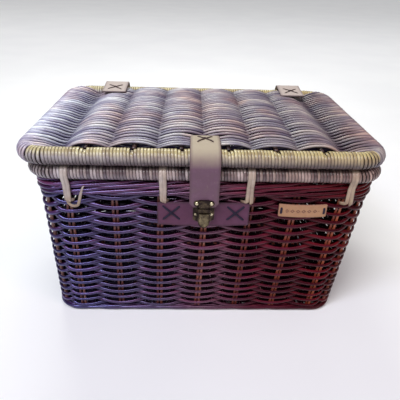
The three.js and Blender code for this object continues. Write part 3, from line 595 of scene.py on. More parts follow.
# Tint of the rods' reflections from the left end of the basket to the right: painted light.
BODY_SHEEN = (
    (0.0, (0.36, 0.36, 0.88)),
    (0.30, (0.50, 0.42, 0.82)),
    (0.52, (0.84, 0.42, 0.62)),
    (0.70, (0.40, 0.10, 0.14)),
    (1.0, (0.27, 0.035, 0.055)),
)
STAKE_STOPS = ((0.0, (0.180, 0.052, 0.032)), (0.5, (0.310, 0.105, 0.060)), (1.0, (0.48, 0.23, 0.14)))
RIB_STOPS = ((0.0, (0.030, 0.014, 0.016)), (0.5, (0.055, 0.026, 0.026)), (1.0, (0.100, 0.050, 0.040)))
LID_CANE_STOPS = ((0.0, (0.42, 0.33, 0.18)), (0.5, (0.66, 0.56, 0.27)), (1.0, (0.86, 0.78, 0.44)))
TIE_STOPS = ((0.0, (0.34, 0.27, 0.21)), (0.5, (0.52, 0.44, 0.36)), (1.0, (0.72, 0.66, 0.58)))
# Multipliers for the colour at the left and right ends of the basket: painted light, cool from the left and
# warm from the right.
PLUM_TO_RED = ((0.28, 0.28, 1.70), (0.54, 0.09, 0.13))
VIOLET_TO_RED = ((0.80, 0.46, 1.25), (0.74, 0.13, 0.11))
PINK_TO_ORANGE = ((0.75, 0.85, 1.25), (1.15, 0.55, 0.36))
BLUE_TO_BROWN = ((1.42, 1.50, 1.78), (0.79, 0.67, 0.68))
GREY_TO_STRAW = ((0.84, 0.86, 0.92), (0.80, 0.76, 0.68))
GREY_TO_BROWN = ((0.86, 0.90, 1.06), (0.78, 0.64, 0.62))
WHITE_TO_CREAM = ((0.95, 0.95, 1.06), (0.95, 0.85, 0.75))

DARK_WILLOW = willow(
    "dark_willow", DARK_STOPS, (0.26, 0.13, 0.13), 0.24, 0.08, vary=0.38, ends=PLUM_TO_RED, sheen=BODY_SHEEN,
    flank=(1.5, 1.0, 0.75), under=0.96, ior=2.25,
)
BAND_WILLOW = willow(
    "band_willow", BAND_STOPS, (0.36, 0.22, 0.22), 0.24, 0.12, vary=0.35, ends=VIOLET_TO_RED,
    sheen=BODY_SHEEN, under=0.9, ior=2.05,
)
STAKE_WILLOW = willow("stake_willow", STAKE_STOPS, (0.55, 0.33, 0.20), 0.38, 0.3, ends=PINK_TO_ORANGE)
RIB_WILLOW = willow("rib_willow", RIB_STOPS, (0.20, 0.12, 0.08), 0.45, 0.2)
LID_WILLOW = willow(
    "lid_willow", LID_STOPS, (0.50, 0.47, 0.38), 0.34, 0.35, streak=0.4, vary=0.32, ends=BLUE_TO_BROWN,
    left_bend=0.5, flank=(1.25, 1.12, 0.80), shadow=(0.050, 0.048, 0.135), sunk_mm=(-1.8, 2.3),
    patches=0.9, dark_below=HOOP_Z, ior=1.65, coat_rough=0.32,
)
LID_CANE = cane(
    "lid_cane", LID_CANE_STOPS, belly=((0.50, 0.48, 0.66), (0.44, 0.33, 0.28)), shade=(0.080, 0.040, 0.060),
    levels=(HOOP_Z - 4.5 * MM, HOOP_Z + 3 * MM, HOOP_Z + 8.5 * MM), ends=GREY_TO_STRAW, edging=0.65,
)
RIM_CANE = cane(
    "rim_cane", RIM_CANE_STOPS, belly=((0.46, 0.41, 0.50), (0.40, 0.27, 0.24)), shade=(0.050, 0.022, 0.028),
    levels=(RIM_MID[2] - 9 * MM, RIM_MID[2] - 4 * MM, RIM_MID[2] + 3 * MM), ends=GREY_TO_BROWN,
    turn_share=0.9,
)
TIE_CANE = cane(
    "tie_cane", TIE_STOPS, belly=((0.50, 0.42, 0.36), (0.46, 0.36, 0.26)), shade=(0.38, 0.27, 0.17),
    levels=(190 * MM, 205 * MM, 235 * MM), ends=WHITE_TO_CREAM, edging=0.4,
)
STRAP_LEATHER = leather(
    "strap_leather", (0.155, 0.078, 0.122), (0.400, 0.335, 0.240), (0.100, 0.050, 0.065), (246 * MM, 266 * MM)
)
HINGE_LEATHER = leather(
    "hinge_leather", (0.230, 0.140, 0.155), (0.460, 0.385, 0.345), (0.150, 0.105, 0.110), (240 * MM, 262 * MM)
)
PATCH_LEATHER = leather("patch_leather", (0.102, 0.028, 0.070), (0.160, 0.056, 0.092), (0.040, 0.013, 0.026))
NAVY_THREAD = waxed_thread("navy_thread", (0.010, 0.007, 0.022), (0.045, 0.032, 0.060))
BROWN_THREAD = waxed_thread("brown_thread", (0.045, 0.026, 0.026), (0.130, 0.085, 0.080))
DARK_BRASS = brass("dark_brass", (0.095, 0.070, 0.045), (0.030, 0.021, 0.019), 0.20, 0.22)
BUTTON_BRASS = brass("button_brass", (0.210, 0.170, 0.100), (0.080, 0.060, 0.040), 0.10, 0.20)
BRIGHT_BRASS = brass("bright_brass", (0.72, 0.63, 0.42), (0.24, 0.185, 0.11), -0.30, 0.22)
CORE_WILLOW = peeled_core()

# ---- woven sides

ROD = 3.3 * MM
ROD_SWELL = 0.22  # how much thicker a rod is inside the stakes than its mean, and thinner at its crests
FAR_SWELL = 0.13  # the same once more, on the end and back walls
ROD_FLAT = 0.66
ROD_JITTER = 0.6 * MM
ROD_TAPER = (1.07, 0.90)
TUCK_LENGTH = 26 * MM
TUCK_DEPTH = 4.5 * MM
PAST_STAKE = (0.28, 0.22)  # how far a rod runs on past its first and last stake, in stake gaps
STAKE_ROD = 1.9 * MM
STAKE_FLAT = 0.75
STAKE_SHADE = 4.5 * MM
STAKE_INSET = 6.1 * MM
STAKE_LOW, STAKE_HIGH = 3 * MM, 216 * MM
UNDER_BAND = 198 * MM
WEAVE_SWING = 3.9 * MM
WEAVE_CREST = 1.1
WEAVE_DROP = 2.6 * MM
END_DROP = 1.0 * MM
ROW_COUNT = 33
PACKING = 0.148  # rows lie this share closer than their mean at the bottom, and wider apart at the top
ROW_LOW = 12.4 * MM
ROW_HIGH = 203.6 * MM
HIDDEN_ROW_INSET = 1.5 * MM
STAKE_PITCH = 60 * MM
PAIR_HALF = 2.5 * MM
STEP = 5.2 * MM

wall_loop = Loop(WALL_HALF[0], WALL_HALF[1], WALL_CORNER, (0, 0))


def wall_point(s, z, out):
    """Points on the leaning wall at length s, height z and distance out from its skin, and their normals."""
    at, normal = wall_loop.at(s)
    f = np.reshape(np.broadcast_to(z, len(s)) / WALL_TOP, (-1, 1))
    at = at + normal * np.reshape(out, (-1, 1))
    scale = FOOT_HALF[:2] / WALL_HALF[:2] * (1 - f) + f
    at = at * scale + FOOT_MID[:2] * (1 - f) + WALL_MID[:2] * f
    return np.column_stack([at, np.broadcast_to(z, len(s))]), np.column_stack([normal, np.zeros(len(s))])


def stake_stations():
    """Lengths round the wall of each double stake, named by the side that it stands on."""
    half_x, half_y = WALL_HALF[:2]
    places = [(i * STAKE_PITCH, side * half_y) for i in range(-3, 4) for side in (-1, 1)]
    places += [(side * half_x, i * STAKE_PITCH) for i in (-1.5, -0.5, 0.5, 1.5) for side in (-1, 1)]
    places += [(side_x * half_x, side_y * half_y) for side_x in (-1, 1) for side_y in (-1, 1)]
    found = []
    for x, y in places:
        if abs(y) == half_y:
            name = "front" if y < 0 else "back"
        else:
            name = "left" if x < 0 else "right"
        found.append((wall_loop.nearest(x, y), name))
    return sorted(found)


stations = stake_stations()
station_runs = np.array([s for s, _ in stations])
STATION_COUNT = len(stations)
lap_numbers = np.arange(-STATION_COUNT, 2 * STATION_COUNT + 1)
lap_runs = np.concatenate([
    *(station_runs + lap * wall_loop.length for lap in (-1, 0, 1)),
    station_runs[:1] + 2 * wall_loop.length,
])


def weave_rod(bundle, start, end, row, z, radius, spread, jitters):
    """One rod of a row, from stake number start to end, its ends tucked inside the basket. It sags where
    it passes outside a stake and rides up where it passes inside."""
    begin, finish = np.interp([start, end], lap_numbers, lap_runs)
    s = np.linspace(begin, finish, int((finish - begin) / STEP))
    number = np.interp(s, lap_runs, lap_numbers)
    share = np.tanh(WEAVE_CREST * np.cos(math.pi * (number + row))) / math.tanh(WEAVE_CREST)
    facing = wall_loop.at(s)[1]
    far = np.maximum(np.abs(facing[:, 0]), facing[:, 1])
    drop = spread * (WEAVE_DROP + END_DROP * np.abs(facing[:, 0]))
    jitter = between_knots(jitters.uniform(-ROD_JITTER, ROD_JITTER, STATION_COUNT), number)
    height = z + jitter - drop * share * np.abs(share)
    depth = STAKE_INSET - WEAVE_SWING * share
    tuck = TUCK_DEPTH * ease(1 - np.minimum(s - s[0], s[-1] - s) / TUCK_LENGTH)
    if row == ROW_COUNT - 1:
        tuck += HIDDEN_ROW_INSET
    points, normal = wall_point(s, height, -depth - tuck)
    size = radius * (1 + 0.07 * smooth_noise(s, 0.09, jitters)) * np.linspace(*ROD_TAPER, len(s))
    size *= 1 - ROD_SWELL * share + FAR_SWELL * far * np.maximum(-share, 0)
    bundle.sweep(points, normal, size, thin=ROD_FLAT, depth=depth)


def build_side_weave():
    """Each row is two rods, half way round each, that swap sides of the stakes from row to row."""
    bundle = Bundle()
    half = STATION_COUNT // 2 + (STATION_COUNT // 2) % 2
    for row in range(ROW_COUNT):
        jitters = np.random.default_rng(100 + row)
        up = row / (ROW_COUNT - 1)
        z = ROW_LOW + (ROW_HIGH - ROW_LOW) * up * (1 + PACKING * (up - 1))
        spread = 1 + PACKING * (2 * up - 1)
        first = int(jitters.integers(0, STATION_COUNT // 2)) * 2 + (row + 1) % 2
        for begin, finish in ((first, first + half), (first + half, first + STATION_COUNT)):
            radius = ROD * spread * jitters.uniform(0.93, 1.08)
            weave_rod(bundle, begin - PAST_STAKE[0], finish + PAST_STAKE[1], row, z, radius, spread, jitters)
    bundle.build("woven_sides", DARK_WILLOW, ["side_weave"], slot="dark_willow")


def build_stakes():
    bundles = {name: Bundle() for name in ("front", "back", "left", "right")}
    z = np.linspace(STAKE_LOW, STAKE_HIGH, 40)
    pressed_in = np.where(z > UNDER_BAND, -1.5 * MM, 0)
    for run, name in stations:
        for side in (-1, 1):
            s = run + side * PAIR_HALF + 0.5 * MM * smooth_noise(z, 0.03, rng)
            out = -STAKE_INSET + 0.3 * MM * smooth_noise(z, 0.04, rng) + pressed_in
            points, normal = wall_point(s, z, out)
            radius = STAKE_ROD * rng.uniform(0.92, 1.08)
            bundles[name].sweep(points, normal, radius, thin=STAKE_FLAT, depth=STAKE_SHADE)
    for name, bundle in bundles.items():
        bundle.build(f"stake_rods_{name}", STAKE_WILLOW, [f"stakes_{name}"], slot="stake_willow")


# ---- waled band, foot and base

WALE_STRANDS = 3
WALE_STATIONS = 27
WALE_SHOWN = 0.72  # share of a strand's round that it spends outside the stakes
WALE_WANDER = 16
BAND_ROW_ZS = (-4.8 * MM, 4.8 * MM)
BASE_PITCH = 6.1 * MM
BASE_ROD = 3.15 * MM
BASE_SWING = 2.6 * MM
BASE_CORNER = 26 * MM
STICK_Z = 6.2 * MM
STICK_ROD = 2.6 * MM
STICK_HALF = 2.5 * MM


def waled_ring(bundle, loop, z, rod, slant, bulge, inset, shift):
    """Three strands that each pass in front of two stakes and behind the next, as one closed ring."""
    s = np.linspace(0, loop.length, int(loop.length / STEP), endpoint=False)
    number = s / loop.length * WALE_STATIONS + shift
    at, normal = loop.at(s)
    normal = np.column_stack([normal, np.zeros(len(s))])
    for strand in range(WALE_STRANDS):
        u = np.mod((number + strand) / WALE_STRANDS, 1)
        out = bulge * np.tanh(2.2 * (np.cos(TAU * (u - WALE_SHOWN / 2)) + 0.35)) - inset
        behind = 1 - 2 * (u - WALE_SHOWN) / (1 - WALE_SHOWN)
        rise = np.where(u < WALE_SHOWN, 2 * u / WALE_SHOWN - 1, behind)
        own = np.random.default_rng(int(z * 1e5) + strand)
        wander, swell = (smooth_noise(s, loop.length / WALE_WANDER, own, WALE_WANDER) for _ in range(2))
        points = np.column_stack([at, z + slant * rise + 0.35 * MM * wander]) + normal * out[:, None]
        bundle.sweep(points, normal, rod * (1 + 0.09 * swell), closed=True, depth=-out)


def build_band():
    bundle = Bundle()
    loop = Loop(BAND_HALF[0], BAND_HALF[1], WALL_CORNER + 1.5 * MM, BAND_MID)
    for row, rise in enumerate(BAND_ROW_ZS):
        z = BAND_MID[2] + rise - 0.4 * MM
        waled_ring(
            bundle, loop, z, rod=2.6 * MM, slant=5.0 * MM, bulge=2.6 * MM, inset=4.8 * MM, shift=1.37 * row
        )
    bundle.build("band_rods", BAND_WILLOW, ["top_band"], slot="dark_willow")


def build_foot():
    """The border that shows, and a second ring inside it."""
    bundle = Bundle()
    outer = Loop(FOOT_HALF[0], FOOT_HALF[1], 35 * MM, FOOT_MID)
    inner = Loop(FOOT_HALF[0] - 5.5 * MM, FOOT_HALF[1] - 5.5 * MM, 29 * MM, FOOT_MID)
    waled_ring(
        bundle, outer, 5.0 * MM, rod=2.5 * MM, slant=2.1 * MM, bulge=2.4 * MM, inset=5.0 * MM, shift=0.6
    )
    waled_ring(
        bundle, inner, 5.2 * MM, rod=2.4 * MM, slant=1.6 * MM, bulge=1.6 * MM, inset=1.5 * MM, shift=1.9
    )
    bundle.build("foot_rods", DARK_WILLOW, ["foot_border"], slot="dark_willow")


def build_base():
    """Rods from front to back, over and under four double sticks."""
    low, high = corners("base_weave")
    mid_x, half_x = middle("base_weave")[0], half_size("base_weave")[0]
    sticks = [corners(f"base_stick_{i}") for i in range(1, 5)]
    stick_ys = [(a[1] + b[1]) / 2 for a, b in sticks]
    edges = [low[1], *stick_ys, high[1]]
    bundle = Bundle()
    count = int((2 * half_x - 5 * MM) / BASE_PITCH)
    for i in range(count + 1):
        x = mid_x + (i - count / 2) * BASE_PITCH
        over = abs(x - mid_x) - (half_x - BASE_CORNER)
        cut = 1 * MM + (BASE_CORNER - math.sqrt(BASE_CORNER**2 - over**2) if 0 < over < BASE_CORNER else 0)
        y = np.linspace(low[1] + cut, high[1] - cut, 46)
        number = np.interp(y, edges, np.arange(len(edges)))
        wave = np.tanh(1.6 * np.cos(math.pi * (number + i)))
        z = STICK_Z + BASE_SWING * wave + 0.3 * MM * smooth_noise(y, 0.03, rng)
        points = np.column_stack([x + 0.4 * MM * smooth_noise(y, 0.05, rng), y, z])
        bundle.sweep(points, UP, BASE_ROD * rng.uniform(0.94, 1.06), thin=0.6, depth=BASE_SWING * (1 - wave))
    bundle.build("woven_base", DARK_WILLOW, ["base_weave"], slot="dark_willow")
    for i, (stick_y, (a, b)) in enumerate(zip(stick_ys, sticks), 1):
        rod = Bundle()
        x = np.linspace(a[0], b[0], 50)
        y = stick_y + 0.8 * MM * smooth_noise(x, 0.08, rng)
        z = STICK_Z + 0.3 * MM * smooth_noise(x, 0.08, rng)
        for side in (-1, 1):
            rod.sweep(np.column_stack([x, y + side * STICK_HALF, z]), UP, STICK_ROD, thin=0.85, sides=10)
        rod.build(f"base_rod_{i}", STAKE_WILLOW, [f"base_stick_{i}"], slot="stake_willow")


# ---- cane windings and ties

CANE_PITCH = 4.05 * MM
CANE_WIDTH = 2.2 * MM
CANE_THIN = 0.32
TURN_POINTS = 15
DENT_DEPTH = 3.4 * MM
DENT_HALF = 3.2 * MM
TIE_WIDTH = 2.8 * MM
TIE_THIN = 0.28
TIE_LIFT = 0.75 * MM
TIE_OUT = BAND_HALF[1] - RIM_LINE[1] + 1.5 * MM
TIE_SPREAD = 2.2 * MM
TIE_TURNS = (9 * MM, -8 * MM)  # how far the foot of a tie goes sideways: those in FIRST_WAY, and the rest
FIRST_WAY = ("front_1", "front_2", "back_1", "left")


def winding(bundle, loop, z, radius, start, end, closed=False, dents=()):
    """Cane wound along the loop from start to end. At the lengths in dents a rib presses the turns in."""
    turns = round((end - start) / CANE_PITCH)
    t = np.linspace(0, 1, turns * TURN_POINTS, endpoint=not closed)
    s = start + (end - start) * t
    angle = -TAU * turns * t
    lean = wobble = 0
    if not closed:
        own = np.random.default_rng(int(1e4 * radius) + int(1e3 * abs(start)))
        lean = 0.5 * MM * smooth_noise(s, 0.013, own)
        wobble = 0.22 * MM * smooth_noise(s, CANE_PITCH * 1.3, own)
    at, normal = loop.at(s + lean)
    r = np.full(len(s), radius - CANE_WIDTH * CANE_THIN) + wobble
    inner_top = ease((np.sin(angle) - 0.1) / 0.5) * ease((0.75 - np.cos(angle)) / 0.4)
    for dent in dents:
        r -= DENT_DEPTH * np.exp(-(((s - dent) / DENT_HALF) ** 2)) * inner_top
    out = np.column_stack([normal * np.cos(angle)[:, None], np.sin(angle)])
    points = np.column_stack([at, np.full(len(s), z)]) + out * r[:, None]
    bundle.sweep(points, out, CANE_WIDTH, thin=CANE_THIN, closed=closed)


def build_rim():
    loop = Loop(*RIM_LINE, RIM_CORNER, RIM_MID)
    bundle = Bundle()
    winding(bundle, loop, RIM_MID[2], RIM_RADIUS, 0, loop.length, closed=True)
    bundle.build("rim_winding", RIM_CANE, ["rim_wrap"], slot="rim_cane")


def tie_strand(bundle, origin, outward, shift, foot_z, turn_to):
    """One cane strand: over the rim, down the band and in through the weave. origin is on the rim's middle
    line, shift is how far beside it the strand runs, and turn_to how far its foot goes sideways."""
    across = np.cross(UP, outward)
    over = np.radians(np.linspace(205, -20, 22))
    ring = RIM_RADIUS + TIE_LIFT
    arc = np.column_stack([ring * np.cos(over), ring * np.sin(over), np.full(len(over), shift)])
    high = BAND_MID[2] + BAND_HALF[2] - 3 * MM - RIM_MID[2]
    low = foot_z - RIM_MID[2]
    t = np.linspace(0, 1, 9)
    slip = 0.6 * MM * math.copysign(1, turn_to)
    height = high + (low - high) * (0.12 + 0.88 * t)
    drop = np.column_stack([np.full(9, TIE_OUT), height, shift + slip * t**1.5])
    t = np.linspace(0.25, 1, 5)
    foot = np.column_stack([TIE_OUT - 6 * MM * t**2, low - 3 * MM * t, shift + turn_to * t])
    path = origin + np.concatenate([arc, drop, foot]) @ np.array([outward, UP, across])
    out = unit(np.cross(np.gradient(path, axis=0), across))
    out *= np.sign(np.sum(out * (path - origin), axis=1))[:, None]
    out[len(arc):] = outward
    bundle.sweep(path, out, TIE_WIDTH, thin=TIE_THIN)


def loose_end(bundle, origin, foot):
    """The cut end of the cane at the left front tie: it comes out under the tie and stands up beside it."""
    t = np.linspace(0, 1, 22)
    x = origin[0] - 2 * MM + 12 * MM * ease(t * 2) + 13 * MM * np.clip((t - 0.4) / 0.6, 0, 1)
    z = foot - 4 * MM - 5 * MM * np.sin(math.pi * np.clip(t * 1.5, 0, 1)) + 25 * MM * ease((t - 0.45) / 0.55)
    y = WALL_MID[1] - WALL_HALF[1] - 2.6 * MM - 2.2 * MM * ease((t - 0.5) / 0.5) + 4 * MM * (1 - ease(t * 3))
    width = np.interp(t, (0, 0.7, 1), (2.2 * MM, 2.0 * MM, 0.7 * MM))
    bundle.sweep(np.column_stack([x, y, z]), -BACK, width, thin=TIE_THIN)


def build_ties():
    ties = {f"front_{i}": -BACK for i in range(1, 5)}
    ties |= {f"back_{i}": BACK for i in range(1, 4)}
    ties |= {"left": -RIGHT, "right": RIGHT}
    for name, outward in ties.items():
        node = f"rim_tie_{name}"
        across = np.cross(UP, outward)
        beside = across * np.dot(middle(node) - RIM_MID, across)
        origin = RIM_MID + outward * np.array([*RIM_LINE, 0]) + beside
        foot = corners(node)[0][2]
        turn = TIE_TURNS[0] if name in FIRST_WAY else TIE_TURNS[1]
        bundle = Bundle()
        tie_strand(bundle, origin, outward, -TIE_SPREAD, foot + 1 * MM, turn)
        tie_strand(bundle, origin, outward, TIE_SPREAD, foot - 1 * MM, -turn * 0.35)
        if name == "front_1":
            loose_end(bundle, origin, foot)
        bundle.build(f"tie_strands_{name}", TIE_CANE, [node], slot="tie_cane")


# ---- lid

DOME = 5.2 * MM
RIB_Z = HOOP_Z + 6.2 * MM
RIB_ROD = 2.9 * MM
LID_ROD = 2.4 * MM
LID_ROD_FLAT = 0.86
LID_ROD_TAPER = (1.05, 0.94)
CORNER_ROD = 0.84  # rods that turn round the hoop's corners are this much thinner
LID_SWING = 6.2 * MM
LID_CREST = 0.9
LID_VALLEY = 7.0 * MM
LID_WANDER = 0.9
END_SINK = 2.8 * MM
LID_PITCH = 4.85 * MM
LID_ROW_REACH = 137.6 * MM
TAB_PRESS = 4.5 * MM
STRAP_PRESS = 3.5 * MM
TURN_RADIUS = HOOP_CORE + 2.3 * MM
TURN_LAST = math.radians(50)
TURN_ANGLES = np.radians(np.linspace(-105, 80, 14))
WINDING_SKIP = 0.58  # share of a corner that the front and back windings leave bare

LID_MID_X, LID_MID_Y = HOOP_MID[:2]
HOOP_STRAIGHT = HOOP_LINE - HOOP_CORNER
hoop_loop = Loop(*HOOP_LINE, HOOP_CORNER, HOOP_MID)
rib_xs = [middle(f"lid_rib_{i}")[0] for i in range(1, 7)]
strap_end = LID_MID_Y - corners("strap_top")[1][1]
tab_end = corners("hinge_leather_upper_left")[0][1] - LID_MID_Y
PRESSED = [(middle(f"hinge_leather_upper_{side}")[0], 1, tab_end, TAB_PRESS) for side in ("left", "right")]
PRESSED.append((middle("strap_top")[0], -1, strap_end, STRAP_PRESS))


def dome(x, y):
    across = 1 - ((x - LID_MID_X) / HOOP_LINE[0]) ** 2
    deep = 1 - ((y - LID_MID_Y) / HOOP_LINE[1]) ** 2
    return DOME * np.maximum(across, 0) * np.maximum(deep, 0)


def weave_press(x, y):
    """How far the stitched leathers press the weave down: most at their inner ends, nothing at the hoop."""
    total = 0
    for leather_x, side, inner, deepest in PRESSED:
        past_end = side * (y - LID_MID_Y) - inner
        beside = np.exp(-(((x - leather_x) / (25 * MM)) ** 4))
        near = ease((past_end + 18 * MM) / (18 * MM))
        fading = 1 - np.clip(past_end / (33 * MM), 0, 1)
        total = total + deepest * beside * near * fading
    return total


def end_turn(tilt, side, turn_y):
    """Half a turn round the hoop, from its underside past the outside to its top, turned by tilt."""
    middle_x = LID_MID_X + side * (HOOP_STRAIGHT[0] + HOOP_CORNER * math.cos(tilt))
    normal = np.array([side * math.cos(tilt), math.sin(tilt), 0])
    out = np.outer(np.cos(TURN_ANGLES), normal) + np.outer(np.sin(TURN_ANGLES), UP)
    return np.array([middle_x, turn_y, HOOP_Z]) + TURN_RADIUS * out, out


def lid_span(row, own, from_x, to_x, row_y, turn_y):
    """A lid rod between its end turns, over and under the ribs, and how deep it lies under the crests."""
    x = np.linspace(from_x + 4 * MM, to_x - 4 * MM, 88)
    first, last = rib_xs[0], rib_xs[-1]
    half_pitch = (rib_xs[1] - first) / 2
    number = np.interp(x, [first - half_pitch, *rib_xs, last + half_pitch], [-0.5, *range(len(rib_xs)), 5.5])
    over = np.cos(math.pi * (number + row))
    offset = np.tanh(LID_CREST * over) / math.tanh(LID_CREST) * LID_SWING
    bank = np.minimum(x - from_x, to_x - x) / (first - half_pitch - from_x)
    near_end = 1 - ease(bank)
    valley = LID_VALLEY * np.exp(-(((bank - 0.92) / 0.38) ** 2))
    woven = RIB_Z + dome(x, row_y) + offset - valley
    level = HOOP_Z + TURN_RADIUS * math.sin(TURN_ANGLES[-1])
    under_at_end = np.where(x < LID_MID_X, row % 2 == 1, row % 2 == 0)
    sink = END_SINK * under_at_end * np.sin(math.pi * np.clip(bank * 0.75, 0, 1)) ** 1.2
    z = woven + (level - woven) * near_end - sink - weave_press(x, row_y) * np.clip(over, 0, 1)
    wander = np.interp(x, np.linspace(x[0], x[-1], 9), own.uniform(-LID_WANDER, LID_WANDER, 9) * MM)
    y = row_y + (turn_y - row_y) * near_end + wander * (1 - near_end)
    hollow = np.maximum(-offset, 0) + 0.35 * (LID_SWING - offset)
    return np.column_stack([x, y, z]), hollow * (1 - near_end) + 0.95 * sink


def lid_row(bundle, row, run):
    """One rod of the lid, wrapped round the hoop at its ends. run is its place along the side rods."""
    own = np.random.default_rng(900 + row)
    sign = math.copysign(1, run)
    beyond = max(abs(run) - HOOP_STRAIGHT[1], 0)
    straight = min(abs(run), HOOP_STRAIGHT[1])
    tilt = sign * beyond / HOOP_CORNER
    squeeze = (LID_ROW_REACH - HOOP_STRAIGHT[1]) / (TURN_LAST * HOOP_CORNER)
    turn_y = LID_MID_Y + sign * (straight + HOOP_CORNER * math.sin(abs(tilt)))
    row_y = LID_MID_Y + sign * (straight + beyond * squeeze)
    rod = LID_ROD * (CORNER_ROD if beyond > 0 else 1.0) * own.uniform(0.95, 1.06)
    left, left_out = end_turn(tilt, -1, turn_y)
    right, right_out = end_turn(tilt, 1, turn_y)
    span, hollow = lid_span(row, own, left[-1, 0], right[-1, 0], row_y, turn_y)
    points = np.concatenate([left, span, right[::-1]])
    out = np.concatenate([left_out, np.broadcast_to(UP, span.shape), right_out[::-1]])
    depth = np.pad(hollow, len(TURN_ANGLES))
    size = rod * np.linspace(*LID_ROD_TAPER, len(points))[:: -1 if row % 2 else 1]
    bundle.sweep(points, out, size, thin=LID_ROD_FLAT, depth=depth)


def build_lid_weave():
    bundle = Bundle()
    reach = HOOP_STRAIGHT[1] + TURN_LAST * HOOP_CORNER
    rows = int(2 * reach / LID_PITCH) + 1
    for row, run in enumerate(np.linspace(-reach, reach, rows)):
        lid_row(bundle, row, run)
    bundle.build("lid_rods", LID_WILLOW, ["lid_weave"], body="lid", slot="lid_willow")
    for i, x in enumerate(rib_xs, 1):
        low, high = corners(f"lid_rib_{i}")
        y = np.linspace(low[1], high[1], 44)
        points = np.column_stack([x + 0.5 * MM * smooth_noise(y, 0.07, rng), y, RIB_Z + dome(x, y)])
        rod = Bundle()
        rod.sweep(points, UP, RIB_ROD, thin=0.85, sides=10, depth=LID_SWING)
        rod.build(f"rib_rod_{i}", RIB_WILLOW, [f"lid_rib_{i}"], body="lid", slot="stake_willow")


def build_lid_windings():
    """The hoop is bound along the front and the back, a little way into each corner."""
    quarter = HOOP_CORNER * math.pi / 2
    skip = quarter * WINDING_SKIP
    half = HOOP_STRAIGHT[0] + quarter - skip
    front_start = HOOP_STRAIGHT[0] + quarter + 2 * HOOP_STRAIGHT[1] + skip
    front_end = front_start + 2 * (quarter - skip) + 2 * HOOP_STRAIGHT[0]
    for name, start, end, side in (("front", front_start, front_end, -1), ("back", -half, half, 1)):
        dents = [hoop_loop.nearest(x, LID_MID_Y + side * HOOP_LINE[1]) for x in rib_xs]
        dents += [run - hoop_loop.length for run in dents]
        bundle = Bundle()
        winding(bundle, hoop_loop, HOOP_Z, HOOP_WRAP, start, end, dents=dents)
        bundle.build(f"lid_winding_{name}", LID_CANE, [f"lid_wrap_{name}"], body="lid", slot="lid_cane")


# ---- leather and thread

LEATHER = 2.6 * MM
LEATHER_HALF = LEATHER / 2
STRAP_BEND = HOOP_WRAP + 0.5 * MM + LEATHER_HALF
STRAP_LIES_TO = 136 * MM
STRAP_HANGS_Y = 159.6 * MM
STRAP_CUT = 5 * MM
HINGE_BEND = HOOP_WRAP + 2.0 * MM + LEATHER_HALF
HINGE_LIES = 33 * MM
BLEND_HALF = 6 * MM
PATCH_THICK = 2.5 * MM
LABEL_THICK = 2.0 * MM
LABEL_SAG = 1.6 * MM
LABEL_THREAD = 1.5 * MM
STITCH_THREAD = 0.95 * MM
PATCH_THREAD = 1.5 * MM


def tab_height(x, y):
    """Middle height of a leather's stitched end, lying on the weave that it presses down."""
    crests = RIB_Z + LID_SWING + LID_ROD + dome(x, y)
    return crests - weave_press(x, y) + 0.3 * MM + LEATHER_HALF


def tab_slope(x, y):
    """Direction along a leather's stitched end, towards the back."""
    return np.array([0, 10 * MM, tab_height(x, y + 5 * MM) - tab_height(x, y - 5 * MM)])


def strip_frames(line, side, x):
    """3-D path and outward normals of a (y, z) line on the front (side -1) or back (side 1)."""
    path = np.column_stack([np.full(len(line), x), LID_MID_Y + side * line[:, 0], line[:, 1]])
    along = unit(np.gradient(path, axis=0))
    return path, unit(-side * np.cross(along, RIGHT))


def cross_stitch(
    name, centre, up, width, height, node, body, across=RIGHT, size=STITCH_THREAD, paint=BROWN_THREAD
):
    """Two crossed threads that rise out of the leather at their ends."""
    up = unit(np.asarray(up, float))
    normal = unit(np.cross(across, up))
    bundle = Bundle()
    t = np.linspace(-1, 1, 19)
    for order, sign in enumerate((1, -1)):
        lift = 0.55 * MM * (1 - np.abs(t) ** 8) - 1.2 * MM * np.abs(t) ** 10
        lift += order * 1.1 * MM * np.exp(-((t / 0.16) ** 2))
        flat = np.outer(t * width / 2, across) + np.outer(t * sign * height / 2, up)
        bundle.sweep(centre + flat + np.outer(lift, normal), normal, size, thin=0.72, tone=0.5)
    bundle.build(name, paint, [node], body=body, slot="thread")


def build_strap():
    """One leather from its stitch on the lid, over the hoop and down to the clasp."""
    low = corners("strap_drop")[0]
    x, half = middle("strap_drop")[0], half_size("strap_drop")[0]
    line = [(y, tab_height(x, LID_MID_Y - y)) for y in np.linspace(strap_end, STRAP_LIES_TO, 8)]
    for a in np.radians(np.linspace(64, 0, 10)):
        line.append((HOOP_LINE[1] + STRAP_BEND * math.cos(a), HOOP_Z + STRAP_BEND * math.sin(a)))
    line += [(LID_MID_Y - low[1], HOOP_Z - 9 * MM), (STRAP_HANGS_Y + 1.4 * MM, 228 * MM)]
    line += [(STRAP_HANGS_Y, 212 * MM), (STRAP_HANGS_Y, low[2])]
    path, normal = strip_frames(rounded(resample(line, 1.6 * MM), 6), -1, x)
    run = runs_along(path)
    left = run[-1] - run
    width = np.where(left < STRAP_CUT, half - (STRAP_CUT - left) * 0.9, half)
    width = np.where(run < 1.5 * MM, half - (1.5 * MM - run) * 0.8, width)
    bundle = Bundle()
    bundle.strip(path, RIGHT, normal, width, LEATHER)
    end_y = path[-1][1]
    joined = ("strap", "lid", (x, end_y, HOOP_Z - 7 * MM), (x, end_y, HOOP_Z + 6 * MM))
    nodes = ["strap_drop", "strap_top"]
    bundle.build("closing_strap", STRAP_LEATHER, nodes, slot="strap_leather", joined=joined)
    at = middle("strap_stitch")[:2]
    centre = np.array([*at, tab_height(*at) + 1.5 * MM])
    cross_stitch("strap_threads", centre, tab_slope(*at), 20 * MM, 20 * MM, "strap_stitch", "lid")


